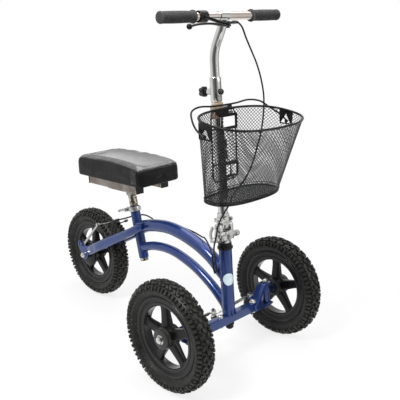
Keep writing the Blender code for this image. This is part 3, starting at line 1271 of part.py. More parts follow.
UPPER_ROUTE = [(0.0030, 0.0215, 0.9690), (0.0000, 0.0420, 0.9560), (-0.0040, 0.0630, 0.9280),
               (-0.0150, 0.1000, 0.8900), (-0.0260, 0.1340, 0.8560), (-0.0340, 0.1640, 0.8120),
               (-0.0400, 0.1860, 0.7600),
               (-0.0420, 0.1900, 0.7070), (-0.0430, 0.1830, 0.6560), (-0.0450, 0.1690, 0.6100),
               (-0.0440, 0.1440, 0.5560), (-0.0400, 0.1130, 0.5260), (-0.0350, 0.0810, 0.5070)]
MIDDLE_ROUTE = [(-0.0350, 0.0810, 0.5070), (-0.0180, 0.0350, 0.4920), (0.0020, 0.0020, 0.4810),
                (0.0080, -0.0240, 0.4650), (0.0100, -0.0450, 0.4440), (0.0090, -0.0530, 0.4260)]
NECK_ROUTE = [(0.0090, -0.0530, 0.4260), (0.0060, -0.0560, 0.3980), (-0.0060, -0.0510, 0.3680),
              (-0.0200, -0.0400, 0.3420), (-0.0280, -0.0320, 0.3120), (-0.0340, -0.0280, 0.2880),
              (-0.0460, -0.0262, 0.2800), (-0.0560, -0.0258, 0.2930), (-0.0620, -0.0220, 0.3180),
              (-0.0720, -0.0130, 0.3430), (-0.0900, -0.0040, 0.3560)]
FRAME_ROUTE = [(-0.0900, -0.0040, 0.3560), (-0.1140, 0.0020, 0.3605), (-0.1570, 0.0060, 0.3665),
               (-0.2060, 0.0090, 0.3690), (-0.2540, 0.0110, 0.3690), (-0.2990, 0.0140, 0.3640),
               (-0.3400, 0.0210, 0.3600), (-0.3750, 0.0270, 0.3560), (-0.4050, 0.0280, 0.3500),
               (-0.4290, 0.0160, 0.3420), (-0.4390, -0.0060, 0.3380), (-0.4420, -0.0260, 0.3365),
               (-0.4488, -0.0374, 0.3350), (-0.4560, -0.0390, 0.3320)]


def cable_points(route, before, after, count):
    """Points along the route; its ends run straight and line up with the next stretch."""
    knots = [Vector(point) for point in route]
    first = (knots[1] - (Vector(before) if before else knots[0])).normalized()
    last = ((Vector(after) if after else knots[-1]) - knots[-2]).normalized()
    head = knots[0] + first * (GAP / 2 if before else GAP)
    tail = knots[-1] - last * (GAP / 2 if after else GAP)
    knots[0] = head + first * CABLE_LEAD
    knots[-1] = tail - last * CABLE_LEAD
    return [head] + smooth_path(knots, count) + [tail]


def make_cables(walker, rear_foot):
    """Brake cable from the lever to the stop on the near stay, and its bare wire to the brake arm."""
    cable("cable_upper", walker, cable_points(UPPER_ROUTE, None, MIDDLE_ROUTE[1], 19))
    cable("cable_middle", walker, cable_points(MIDDLE_ROUTE, UPPER_ROUTE[-2], NECK_ROUTE[1], 7))
    cable("cable_neck", walker, cable_points(NECK_ROUTE, MIDDLE_ROUTE[-2], FRAME_ROUTE[1], 13))
    cable("cable_frame", walker, cable_points(FRAME_ROUTE, NECK_ROUTE[-2], None, 20))
    pull = Vector(STOP_BARREL[0])
    tip = Vector((BRAKE_TIP[0] + 0.0052, BRAKE_PLANE - 0.001, AXLE_HEIGHT + BRAKE_TIP[1] + 0.0012))
    wire = [pull + (tip - pull).normalized() * GAP, tip]
    piece("cable_wire", swept(wire, (WIRE_CORE, WIRE_CORE), 6), "steel", rear_foot)


def make_steered_wheel(side, turn, swivel):
    """Wheel and axle nut on one knuckle."""
    trail = STEER_TRAIL
    place = (-trail * math.cos(STEER_LEAN), (TRACK / 2 - KINGPIN_Y) * turn, trail * math.sin(STEER_LEAN))
    axle = empty("front_axle_" + side, swivel, place, (0, STEER_LEAN, 0))
    make_wheel("front_" + side, axle)
    start = (HUB_HALF + 2 * GAP) * turn
    hex_nut("axle_nut_" + side, axle, "steel", start, NUT_LENGTH, turn, bore(AXLE_RADIUS, 6))


def build():
    for obj in list(bpy.data.objects):
        bpy.data.objects.remove(obj, do_unlink=True)
    walker = empty("walker", None, (FRONT_AXLE_X, 0, TYRE_RADIUS - AXLE_HEIGHT))
    rear_foot = empty("rear_foot", walker, (-WHEELBASE, 0, 0))
    rear = empty("rear_axle_line", rear_foot, (0, 0, AXLE_HEIGHT))
    lean = empty("steering_axis", walker, (STEER_TRAIL, 0, AXLE_HEIGHT), (0, -STEER_LEAN, 0))
    steering = empty("steering", lean)
    column = empty("column_hinge", steering, (0, 0, FOLD_LEVEL))
    stem = empty("stem_slide", column, (0, 0, -FOLD_LEVEL))
    seat_line = empty("seat_line", walker, (SEAT_TUBE_TOP[0], 0, SEAT_TUBE_TOP[1]), (0, -SEAT_LEAN, 0))
    slide = empty("seat_slide", seat_line)

    make_head(lean)
    make_front_beam(lean)
    make_linkage(steering)
    for side, turn in (("left", 1), ("right", -1)):
        make_kingpin(side, turn, lean)
        swivel = empty("kingpin_axis_" + side, lean, (0, KINGPIN_Y * turn, 0))
        make_knuckle(side, turn, swivel)
        make_steered_wheel(side, turn, swivel)
        make_tie_rod(side, turn, empty("tie_rod_axis_" + side, steering, (-STEER_ARM, 0, 0)))
        make_stay(side, turn, rear_foot)

    make_fold_base(steering)
    make_fold_head(column)
    fold_pivot = empty("fold_lever_axis", steering, (0, -SKEWER_HEAD - GAP - LEVER_BARREL, SKEWER_LEVEL))
    make_fold_lock(steering, fold_pivot)
    make_column(column)
    make_height_knob(empty("knob_axis", column, (-KNOB_REACH, 0, KNOB_LEVEL - FOLD_LEVEL)))
    make_stem(stem)
    make_handlebar(stem)
    make_brake_perch(stem)
    make_brake_lever(empty("brake_lever_axis", stem, LEVER_PIVOT))

    place = steer_local(BASE_CENTRE_X, 0, BASE_LEVEL) - Vector((0, 0, FOLD_LEVEL))
    basket = empty("basket_lift", column, place, (0, STEER_LEAN, 0))
    bail = empty("bail_axis", basket, (BAIL_PIVOT[0] - BASE_CENTRE_X, 0, BAIL_PIVOT[2] - BASE_LEVEL))
    make_basket(basket, bail)
    make_hanger(basket, column)

    make_frame_tubes(walker, lean, seat_line)
    make_wheel("rear", empty("rear_wheel_axis", rear), drum=True)
    make_rear_axle(rear)
    make_brake_arm(empty("brake_arm_axis", rear, (BRAKE_PIVOT[0], 0, BRAKE_PIVOT[1])))
    clamp_pivot = (-CLAMP_BOLT_X, -CLAMP_BOLT_HEAD - GAP - CLAMP_BARREL, (CLAMP_LOW + CLAMP_HIGH) / 2)
    make_seat_clamp(seat_line, empty("seat_lever_axis", seat_line, clamp_pivot))
    make_cable_stop(rear_foot)
    pad_place = seat_local(PAD_CENTRE_X, PAD_BASE)
    pad = empty("pad_plane", slide, pad_place, (0, SEAT_LEAN - PAD_TILT, 0))
    make_seat(slide, pad)
    make_cables(walker, rear_foot)


build()
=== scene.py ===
"""All-terrain knee walker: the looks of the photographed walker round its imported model.

Everything is in the model's frame: +X forward, +Y to the rider's left, +Z up. Lengths are in metres,
and in millimetres inside mm().
"""
import json
import math
import random

import bmesh
import bpy
from mathutils import Matrix, Vector, noise
from mathutils.bvhtree import BVHTree

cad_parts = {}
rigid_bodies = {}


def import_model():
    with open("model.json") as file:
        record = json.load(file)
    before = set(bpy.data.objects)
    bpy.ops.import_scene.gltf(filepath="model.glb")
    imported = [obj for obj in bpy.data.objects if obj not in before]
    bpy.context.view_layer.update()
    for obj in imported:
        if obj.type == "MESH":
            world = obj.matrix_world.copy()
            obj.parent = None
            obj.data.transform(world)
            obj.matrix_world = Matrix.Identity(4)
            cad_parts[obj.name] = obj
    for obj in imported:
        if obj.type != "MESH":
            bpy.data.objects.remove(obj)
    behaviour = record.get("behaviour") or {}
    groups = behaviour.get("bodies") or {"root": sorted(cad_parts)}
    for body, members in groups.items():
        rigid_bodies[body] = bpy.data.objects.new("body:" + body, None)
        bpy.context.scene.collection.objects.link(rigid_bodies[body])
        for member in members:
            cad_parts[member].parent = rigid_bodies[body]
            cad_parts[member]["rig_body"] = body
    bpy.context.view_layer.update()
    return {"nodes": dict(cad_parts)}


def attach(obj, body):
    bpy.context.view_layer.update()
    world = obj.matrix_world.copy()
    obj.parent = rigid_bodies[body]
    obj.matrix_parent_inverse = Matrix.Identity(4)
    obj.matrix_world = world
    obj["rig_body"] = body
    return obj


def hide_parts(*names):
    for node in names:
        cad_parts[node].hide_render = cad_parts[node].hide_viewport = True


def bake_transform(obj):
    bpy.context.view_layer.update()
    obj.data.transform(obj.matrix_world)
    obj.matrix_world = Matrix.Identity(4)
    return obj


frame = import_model()
random.seed(7)


def at(x=0.0, y=0.0, z=0.0):
    """Matrix that moves a shape."""
    return Matrix.Translation((x, y, z))


def mm(*points):
    """Points whose measures are given in millimetres."""
    return [tuple(value / 1000 for value in point) for point in points]


# Places that the model settles
SIDES = (("left", 1), ("right", -1))
AXLE_X = 0.311655
WHEELBASE = 0.643
TYRE_RADIUS = 0.159
TRACK_HALF = 0.2305
LEAN_ANGLE = math.radians(5.24)
SEAT_ANGLE = math.radians(14.5)
PAD_TILT = math.radians(2.75)
WALKER = at(AXLE_X)
LEAN = WALKER @ at(0.0055, 0, TYRE_RADIUS) @ Matrix.Rotation(-LEAN_ANGLE, 4, "Y")
SEAT = WALKER @ at(-0.4206, 0, 0.38) @ Matrix.Rotation(-SEAT_ANGLE, 4, "Y")
PAD = WALKER @ at(-0.4515, 0, 0.4712) @ Matrix.Rotation(-PAD_TILT, 4, "Y")
REAR = WALKER @ at(-WHEELBASE, 0, TYRE_RADIUS)
FRONT = {side: WALKER @ at(0, TRACK_HALF * turn, TYRE_RADIUS) for side, turn in SIDES}
BAR_X, BAR_Z = 0.041, 0.8247
BAR = LEAN @ at(BAR_X, 0, BAR_Z)
LEVER_PIVOT = (0.08, -0.025, 0.805)
HEAD_FOOT, HEAD_TOP = -0.0137, 0.186
HEAD_BORE, HEAD_RADIUS = 0.0155, 0.019
SEAT_BORE, SEAT_RADIUS, SEAT_LENGTH = 0.0141, 0.016, 0.1745
ARCH_RADIUS, LOW_ARCH_RADIUS = 0.02, 0.0145
STEM_RADIUS = 0.0125
BAR_RADIUS, BAR_HALF = 0.011, 0.216


# Camera, floor and light

def aimed(name, data, place, ahead):
    """A camera or lamp that looks along a direction."""
    obj = bpy.data.objects.new(name, data)
    bpy.context.scene.collection.objects.link(obj)
    obj.location = place
    obj.rotation_mode = "QUATERNION"
    obj.rotation_quaternion = ahead.to_track_quat("-Z", "Y")
    return obj


def make_camera():
    """Camera at the photograph's place."""
    data = bpy.data.cameras.new("camera")
    data.sensor_width = 36
    data.lens = 57.957
    yaw, pitch = math.radians(135.36), math.radians(17.19)
    ahead = Vector((math.cos(yaw) * math.cos(pitch), math.sin(yaw) * math.cos(pitch), -math.sin(pitch)))
    bpy.context.scene.camera = aimed("camera", data, (1.473315, -1.25977, 1.02164), ahead)


def wire(tree, node, inputs):
    """Sets a node's inputs: a socket is linked, and a colour or a number is set on the input."""
    for key, value in inputs.items():
        if isinstance(value, bpy.types.NodeSocket):
            tree.links.new(value, node.inputs[key])
        else:
            node.inputs[key].default_value = (*value, 1) if isinstance(value, tuple) else value


def shader(tree, kind, inputs, **settings):
    """A new shader node with its settings and inputs."""
    node = tree.nodes.new("ShaderNode" + kind)
    for key, value in settings.items():
        setattr(node, key, value)
    wire(tree, node, inputs)
    return node


def grey(value):
    """Colour with equal red, green and blue."""
    return value, value, value


def shown_directly(tree):
    """One where a ray comes from the camera or a mirror-like surface."""
    path = shader(tree, "LightPath", {}).outputs
    value = path["Is Camera Ray"]
    for name in ("Is Glossy Ray", "Is Transmission Ray"):
        value = shader(tree, "Math", {0: value, 1: path[name]}, operation="MAXIMUM").outputs[0]
    return value


def make_world():
    """White studio that is darker towards the photographer's side."""
    world = bpy.data.worlds.new("studio")
    bpy.context.scene.world = world
    world.use_nodes = True
    tree = world.node_tree
    split = shader(tree, "SeparateXYZ", {0: shader(tree, "TexCoord", {}).outputs["Generated"]}).outputs
    around = shader(tree, "Math", {0: split["Y"], 1: split["X"]}, operation="ARCTAN2").outputs[0]
    spread = shader(tree, "MapRange", {"Value": around, "From Min": -math.pi, "From Max": math.pi})
    ramp = shader(tree, "ValToRGB", {0: spread.outputs[0]})
    stops = ((0.0, 0.95), (0.17, 0.9), (0.24, 0.3), (0.33, 0.12), (0.4, 0.1), (0.47, 0.55), (0.55, 1.0),
             (0.62, 1.0), (0.66, 0.3), (0.69, 0.28), (0.73, 1.0), (0.9, 1.0), (0.93, 0.45), (0.96, 0.95))
    elements = ramp.color_ramp.elements
    for element, (position, value) in zip(elements, (stops[0], stops[-1])):
        element.position = position
        element.color = (*grey(value), 1)
    for position, value in stops[1:-1]:
        elements.new(position).color = (*grey(value), 1)
    high = shader(tree, "MapRange", {"Value": split["Z"], "From Min": 0.35, "From Max": 0.8}).outputs[0]
    sky = shader(tree, "Mix", {0: high, 6: ramp.outputs[0], 7: grey(0.95)}, data_type="RGBA").outputs[2]
    path = shader(tree, "LightPath", {}).outputs
    level = shader(tree, "MapRange", {"Value": path["Is Glossy Ray"], "To Min": 0.42, "To Max": 1.0})
    back = tree.nodes["Background"]
    wire(tree, back, {"Strength": level.outputs[0], "Color": sky})
    white = shader(tree, "Background", {"Color": grey(1)})
    mix = shader(tree, "MixShader", {0: path["Is Camera Ray"], 1: back.outputs[0], 2: white.outputs[0]})
    wire(tree, tree.nodes["World Output"], {"Surface": mix.outputs[0]})


def make_floor():
    """Pale floor that fades to the white background and keeps a soft shadow."""
    bpy.ops.mesh.primitive_circle_add(vertices=96, radius=1.5, fill_type="NGON", location=(0, 0, -0.0004))
    floor = bpy.context.object
    floor.name = "floor"
    material = bpy.data.materials.new("floor")
    material.use_nodes = True
    tree = material.node_tree
    plain = tree.nodes["Principled BSDF"]
    wire(tree, plain, {"Base Color": grey(0.95), "Roughness": 0.6, "Specular IOR Level": 0.1})
    glow = shader(tree, "Emission", {"Color": grey(1)})
    place = shader(tree, "TexCoord", {}).outputs["Object"]
    reach = shader(tree, "VectorMath", {0: place}, operation="LENGTH").outputs["Value"]
    fade = shader(tree, "MapRange", {"Value": reach, "From Min": 0.5, "From Max": 1.15, "To Min": 0.8})
    share = shader(tree, "Math", {0: shown_directly(tree), 1: fade.outputs[0]}, operation="MULTIPLY")
    mix = shader(tree, "MixShader", {0: share.outputs[0], 1: plain.outputs[0], 2: glow.outputs[0]})
    wire(tree, tree.nodes["Material Output"], {"Surface": mix.outputs[0]})
    floor.data.materials.append(material)


def make_lights():
    """Large soft lights: one overhead, one on the camera's side and one before the walker."""
    aim = Vector((0, 0, 0.45))
    for name, place, size, watts in (("overhead", (-0.3, 0.5, 2.9), 2.4, 42),
                                     ("key", (0.35, -1.75, 2.45), 0.8, 58),
                                     ("side", (2.6, 0.7, 1.7), 1.2, 22)):
        data = bpy.data.lights.new(name, "AREA")
        data.size = size
        data.energy = watts
        aimed(name, data, place, aim - Vector(place))


# Materials

FINISHES = {}


class Finish:
    """A principled material with mottled colour, uneven gloss and fine relief."""

    def __init__(self, name, colour, rough, metal=0.0, coat=0.0, level=0.5, gloss=0.08):
        self.name = name
        self.material = bpy.data.materials.new(name)
        self.material.use_nodes = True
        self.tree = self.material.node_tree
        self.colour = colour
        self.rough = rough
        self.relief = {}
        self.set(**{"Metallic": metal, "Coat Weight": coat, "Coat Roughness": gloss,
                    "Specular IOR Level": level})
        self.place = self.new("TexCoord", {}).outputs["Object"]

    def set(self, **inputs):
        """Sets inputs of the principled shader."""
        wire(self.tree, self.tree.nodes["Principled BSDF"], inputs)
        return self

    def new(self, kind, inputs, **settings):
        """A node of this material."""
        return shader(self.tree, kind, inputs, **settings)

    def noise(self, scale, detail):
        """Noise fixed to the piece."""
        return self.new("TexNoise", {"Scale": scale, "Detail": detail, "Vector": self.place}).outputs["Fac"]

    def spread(self, value, low, high, start=0.3, end=0.7):
        """A value's range from start to end spread over low to high."""
        return self.new("MapRange", {"Value": value, "From Min": start, "From Max": end, "To Min": low,
                                     "To Max": high}).outputs[0]

    def mix(self, share, other):
        """Lays another colour over the first by a share."""
        self.colour = self.new("Mix", {0: share, 6: self.colour, 7: other}, data_type="RGBA").outputs[2]
        return self

    def mottle(self, scale, other, start=0.35, end=0.7):
        """Patches of another colour."""
        return self.mix(self.spread(self.noise(scale, 5.0), 0.0, 1.0, start, end), other)

    def edge_wear_and_highlight(self, other, start=0.52, end=0.62, most=0.7):
        """Lighter colour where the surface comes to an edge: a painted edge highlight, and on the bare metals
        edge wear as well.
        """
        edge = self.new("NewGeometry", {}).outputs["Pointiness"]
        return self.mix(self.spread(edge, 0.0, most, start, end), other)

    def bump(self, value, height):
        """Relief of a height that follows a value, on top of what is there."""
        node = self.new("Bump", {"Distance": height, "Height": value, **self.relief})
        self.relief = {"Normal": node.outputs[0]}
        return self

    def grain(self, scale, detail, height):
        """Relief of noise."""
        return self.bump(self.noise(scale, detail), height)

    def cells(self, scale, height):
        """Relief of small cells, as on leatherette."""
        texture = self.new("TexVoronoi", {"Scale": scale, "Detail": 3.0, "Vector": self.place},
                           feature="DISTANCE_TO_EDGE")
        return self.bump(texture.outputs["Distance"], height)

    def woven(self, pitch, depth):
        """Staggered dots pressed into the surface, with painted shade darkening the dents."""
        split = self.new("SeparateXYZ", {0: self.place}).outputs
        total = self.new("Math", {0: split["X"], 1: split["Y"]}).outputs[0]
        waves = []
        for sign in (1, -1):
            shift = self.new("Math", {0: total, 1: sign, 2: split["Z"]}, operation="MULTIPLY_ADD").outputs[0]
            turns = self.new("Math", {0: shift, 1: math.pi / pitch}, operation="MULTIPLY").outputs[0]
            waves.append(self.new("Math", {0: turns}, operation="SINE").outputs[0])
        dots = self.new("Math", {0: waves[0], 1: waves[1]}, operation="MULTIPLY").outputs[0]
        dents = self.spread(dots, 0.0, 1.0, 0.35, 0.8)
        # The dark colour mixed into the dents is painted shade.
        return self.mix(dents, (0.0035, 0.0035, 0.004)).bump(dents, -depth)

    def done(self, uneven=0.06, scale=35.0):
        """Gives the shader its colour, relief and uneven gloss, and keeps the finish by its name."""
        rough = self.spread(self.noise(scale, 6.0), self.rough - uneven, self.rough + uneven)
        self.set(**{"Roughness": rough, "Base Color": self.colour, **self.relief})
        FINISHES[self.name] = self.material


def make_finishes():
    """Every finish: colour, roughness, metal, coat, specular level and coat roughness, then its layers."""
    Finish("blue", (0.012, 0.036, 0.155), 0.3, 0.35, 0.75, 0.2, 0.03).mottle(
        9, (0.015, 0.041, 0.18)).mottle(1800, (0.028, 0.062, 0.235), 0.52, 0.75).done(0.04)
    Finish("weld", (0.018, 0.042, 0.165), 0.3, 0.35, 0.6).mottle(60, (0.03, 0.055, 0.21)).grain(
        420, 3.0, 0.0002).done()
    Finish("chrome", (0.6, 0.6, 0.585), 0.11, 1.0).mottle(14, (0.7, 0.7, 0.69)).grain(
        26, 2.0, 0.00006).done(0.035, 60)
    # Steel: the lighter edges are edge wear and painted edge highlight.
    Finish("steel", (0.42, 0.42, 0.41), 0.3, 1.0).mottle(70, (0.55, 0.55, 0.54)).edge_wear_and_highlight(
        (0.72, 0.72, 0.71)).grain(500, 4.0, 0.00004).done(0.09, 90)
    # Cast: the dark noise streaks are painted shade standing in for the casting's dark gaps; the lighter
    # edges are edge wear and painted edge highlight.
    Finish("cast", (0.5, 0.5, 0.49), 0.38, 0.85).mottle(55, (0.62, 0.62, 0.61)).mottle(
        75, (0.045, 0.045, 0.042), 0.515, 0.555).edge_wear_and_highlight((0.8, 0.8, 0.79)).grain(
        750, 4.0, 0.00009).done(0.09, 80)
    # Black metal: the lighter edges are painted edge highlight.
    Finish("black_metal", (0.004, 0.004, 0.0042), 0.32, 0.0, 0.0, 0.18).mottle(
        45, (0.008, 0.008, 0.0084)).edge_wear_and_highlight(grey(0.03)).grain(900, 2.0, 0.00005).done(0.08)
    # Moulded plastic: the lighter edges are painted highlight, as on the rim's ring edges.
    Finish("moulded", (0.004, 0.004, 0.0042), 0.27, level=0.19).mottle(30, grey(0.008)).edge_wear_and_highlight(
        (0.1, 0.1, 0.097), 0.52, 0.6, 0.8).grain(1400, 2.0, 0.00005).done(0.08)
    # Rim edges: the grey lighter than the moulding is a painted highlight line; the coat gives real gloss.
    Finish("rim_edge", grey(0.012), 0.3, 0.0, 0.3, 0.5, 0.2).mottle(30, grey(0.02)).done(0.05)
    Finish("cable", (0.006, 0.006, 0.0065), 0.33, level=0.3).mottle(60, (0.012, 0.012, 0.0125)).done()
    # Grips: the lighter rib edges are painted highlight.
    Finish("grip", (0.013, 0.013, 0.014), 0.62).mottle(90, (0.026, 0.026, 0.027)).edge_wear_and_highlight(grey(0.12)).grain(
        1600, 3.0, 0.00012).done()
    # Tyre: the light speckles and the lighter knob edges are painted highlight glints.
    Finish("tyre", (0.007, 0.007, 0.0064), 0.44, 0.0, 0.0, 0.26).mottle(38, (0.011, 0.0107, 0.0097)).mottle(
        240, (0.1, 0.099, 0.09), 0.6, 0.72).edge_wear_and_highlight((0.055, 0.054, 0.049), 0.54, 0.66, 0.6).grain(
        520, 5.0, 0.00022).done(0.1)
    # The front's base colour is darker than the top's: painted shade on the faces turned from the light.
    Finish("pad_front_painted_shade", (0.006, 0.006, 0.0063), 0.42, level=0.16).mottle(25, (0.01, 0.01, 0.0103)).grain(
        60, 4.0, 0.0005).done(0.07, 50)
    Finish("pad", (0.01, 0.01, 0.0105), 0.38, 0.0, 1.0, 0.7, 0.24).set(**{"Coat IOR": 1.7}).mottle(
        25, grey(0.016)).cells(1100, 0.00012).grain(60, 4.0, 0.0005).done(0.07, 50)
    Finish("pad_side", (0.009, 0.009, 0.0092), 0.45, level=0.2).mottle(30, (0.014, 0.014, 0.0143)).woven(
        0.0034, 0.0006).grain(70, 4.0, 0.0004).done()
    # Rails: the lighter edges are edge wear and painted edge highlight.
    Finish("rail", (0.2, 0.18, 0.155), 0.24, 1.0).mottle(17, (0.09, 0.05, 0.028), 0.42, 0.58).edge_wear_and_highlight(
        (0.75, 0.74, 0.72)).grain(300, 3.0, 0.00003).done(0.06, 60)
    Finish("warm_steel", (0.58, 0.42, 0.31), 0.34, 0.4).mottle(70, (0.68, 0.54, 0.42)).done(0.08, 60)
    Finish("bar", (0.66, 0.57, 0.51), 0.15, 1.0).mottle(14, (0.74, 0.68, 0.64)).done(0.04, 60)
    Finish("post", (0.58, 0.54, 0.48), 0.13, 1.0).mottle(130, (0.13, 0.095, 0.06), 0.46, 0.54).done(0.04, 60)
    Finish("thread", (0.02, 0.02, 0.021), 0.7).mottle(800, (0.035, 0.035, 0.036)).done()
    Finish("eyelet", grey(0.2), 0.5).mottle(90, grey(0.3)).done()
    Finish("board", (0.03, 0.024, 0.018), 0.6).mottle(24, (0.05, 0.038, 0.026)).grain(
        240, 6.0, 0.0002).done()
    Finish("badge", (0.7, 0.84, 0.92), 0.3, 0.0, 0.4).mottle(60, (0.76, 0.88, 0.95)).done()


# Shapes

def arc(centre, radius, start, end, count):
    """Points on an arc, both ends included; angles in degrees."""
    angles = [math.radians(start + (end - start) * i / (count - 1)) for i in range(count)]
    return [(centre[0] + radius * math.cos(a), centre[1] + radius * math.sin(a)) for a in angles]


def smooth_path(route, count):
    """Evenly spaced points on the smooth curve through the route's points."""
    knots = [Vector(point) for point in route]
    knots = [2 * knots[0] - knots[1]] + knots + [2 * knots[-1] - knots[-2]]
    dense = []
    for a, b, c, d in zip(knots, knots[1:], knots[2:], knots[3:]):
        for step in range(24):
            t = step / 24
            dense.append(0.5 * (2 * b + (c - a) * t + (2 * a - 5 * b + 4 * c - d) * t ** 2
                                + (3 * b - a - 3 * c + d) * t ** 3))
    dense.append(knots[-2])
    lengths = [0.0]
    for start, end in zip(dense, dense[1:]):
        lengths.append(lengths[-1] + (end - start).length)
    points = []
    index = 0
    for i in range(count):
        wanted = lengths[-1] * i / (count - 1)
        while index < len(dense) - 2 and lengths[index + 1] < wanted:
            index += 1
        span = lengths[index + 1] - lengths[index]
        points.append(dense[index].lerp(dense[index + 1], (wanted - lengths[index]) / span))
    return points


def skin(bm, rings, closed=False):
    """Faces between rings of points; a ring may be a single point."""
    for first, second in list(zip(rings, rings[1:])) + [(rings[-1], rings[0])] * closed:
        count = max(len(first), len(second))
        for k in range(count if count > 1 else 0):
            n = (k + 1) % count
            corners = (first[k % len(first)], first[n % len(first)], second[n % len(second)],
                       second[k % len(second)])
            bm.faces.new(list(dict.fromkeys(corners)))


def swept(path, sections, sides=24, side=(0, 1, 0), closed=False, square=2.0):
    """Tube along a path; a section is a radius or (half across, half up), square above 2 boxes it."""
    points = [Vector(point) for point in path]
    count = len(points)
    if isinstance(sections, float):
        sections = (sections, sections)
    if isinstance(sections, tuple):
        sections = [sections] * count
    bm = bmesh.new()
    loops = []
    across = Vector(side)
    for i, point in enumerate(points):
        before = points[i - 1] if (i or closed) else point
        after = points[(i + 1) % count] if (i < count - 1 or closed) else point
        tangent = (after - before).normalized()
        across = (across - tangent * across.dot(tangent)).normalized()
        up = tangent.cross(across)
        loop = []
        for k in range(sides):
            angle = math.tau * (k + 0.5) / sides
            c, s = (math.copysign(abs(v) ** (2 / square), v) for v in (math.cos(angle), math.sin(angle)))
            loop.append(bm.verts.new(point + across * sections[i][0] * c + up * sections[i][1] * s))
        loops.append(loop)
    skin(bm, loops, closed)
    if not closed:
        bm.faces.new(loops[0])
        bm.faces.new(loops[-1])
    return bm


TURNS = {"X": Matrix.Rotation(math.pi / 2, 4, "Y"), "Y": Matrix.Rotation(-math.pi / 2, 4, "X"),
         "Z": Matrix.Identity(4)}


def turned(outline, steps=48, axis="Z"):
    """Solid of revolution of a closed (radius, height) outline."""
    bm = bmesh.new()
    angles = [math.tau * i / steps for i in range(steps)]
    rings = []
    for radius, height in outline:
        turns = angles if radius > 1e-7 else [0.0]
        rings.append([bm.verts.new((radius * math.cos(a), radius * math.sin(a), height)) for a in turns])
    skin(bm, rings, True)
    bm.transform(TURNS[axis])
    return bm


def softened(outline, size):
    """A turned outline with each corner cut back a little, for a rounded edge."""
    points = []
    count = len(outline)
    for i, (r, h) in enumerate(outline):
        if r < 1e-7:
            points.append((r, h))
            continue
        here = Vector((r, h))
        for other in (Vector(outline[i - 1]), Vector(outline[(i + 1) % count])):
            step = other - here
            points.append(tuple(here + step.normalized() * min(size, step.length * 0.35)))
    return points


def pipe(inner, outer, low, high, soft, steps=48, axis="Z"):
    """Tube, or a rod where inner is 0, with edges cut back by soft."""
    outline = [(inner, low), (outer, low), (outer, high), (inner, high)]
    return turned(softened(outline, soft) if soft else outline, steps, axis)


def span(near, far, turn):
    """Two distances from the middle plane, in rising order, on the side of turn."""
    return sorted((near * turn, far * turn))


def plate(loops, low, high, normal="Z", bevel=0.0):
    """Flat plate of an outline, with holes after it, between two levels of its normal."""
    bm = bmesh.new()
    edges = []
    for outline in loops:
        verts = [bm.verts.new((u, v, low)) for u, v in outline]
        edges += [bm.edges.new((a, b)) for a, b in zip(verts, verts[1:] + verts[:1])]
    filled = bmesh.ops.triangle_fill(bm, edges=edges, use_beauty=True, normal=(0, 0, 1))
    faces = [item for item in filled["geom"] if isinstance(item, bmesh.types.BMFace)]
    grown = bmesh.ops.extrude_face_region(bm, geom=faces)
    moved = [item for item in grown["geom"] if isinstance(item, bmesh.types.BMVert)]
    bmesh.ops.translate(bm, verts=moved, vec=(0, 0, high - low))
    for vert in bm.verts:
        u, v, w = vert.co
        if normal == "Y":
            vert.co = (u, w, v)
        if normal == "X":
            vert.co = (w, u, v)
    if bevel:
        rounded(bm, bevel, 30)
    return bm


def rounded(bm, width, angle=40, segments=2):
    """Rounds the edges sharper than an angle."""
    bmesh.ops.dissolve_limit(bm, angle_limit=math.radians(1), verts=bm.verts[:], edges=bm.edges[:])
    limit = math.radians(angle)
    sharp = [e for e in bm.edges if len(e.link_faces) == 2 and e.calc_face_angle(0) > limit]
    bmesh.ops.bevel(bm, geom=sharp, offset=width, segments=segments, profile=0.6, affect="EDGES",
                    clamp_overlap=True)


def block(low, high, bevel):
    """Box between two corners with rounded edges."""
    bm = bmesh.new()
    bmesh.ops.create_cube(bm, size=1)
    centre, extent = (Vector(low) + Vector(high)) / 2, Vector(high) - Vector(low)
    for vert in bm.verts:
        vert.co = Vector([vert.co[k] * extent[k] + centre[k] for k in range(3)])
    rounded(bm, bevel, 30, 3)
    return bm


def merged(*parts):
    """One bmesh from several, each alone or with the matrix that places it."""
    total = bmesh.new()
    for part in parts:
        bm, place = part if isinstance(part, tuple) else (part, Matrix.Identity(4))
        mesh = bpy.data.meshes.new("part")
        bm.to_mesh(mesh)
        bm.free()
        mesh.transform(place)
        total.from_mesh(mesh)
        bpy.data.meshes.remove(mesh)
    return total


def as_object(name, bm):
    """Object of a bmesh, in the scene."""
    mesh = bpy.data.meshes.new(name)
    bm.to_mesh(mesh)
    bm.free()
    obj = bpy.data.objects.new(name, mesh)
    bpy.context.scene.collection.objects.link(obj)
    return obj


def put(name, bm, finish, body, nodes=(), place=None, sharp=38):
    """Makes a piece of a bmesh, rides it on its body, if any, and lets it stand for its nodes."""
    if place:
        bm.transform(place)
    bmesh.ops.recalc_face_normals(bm, faces=bm.faces)
    limit = math.radians(sharp)
    for face in bm.faces:
        face.smooth = True
    for edge in bm.edges:
        edge.smooth = len(edge.link_faces) == 2 and edge.calc_face_angle(0) < limit
    obj = as_object(name, bm)
    obj.data.materials.append(FINISHES[finish])
    if body:
        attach(obj, body)
    if nodes:
        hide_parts(*nodes)
    return obj


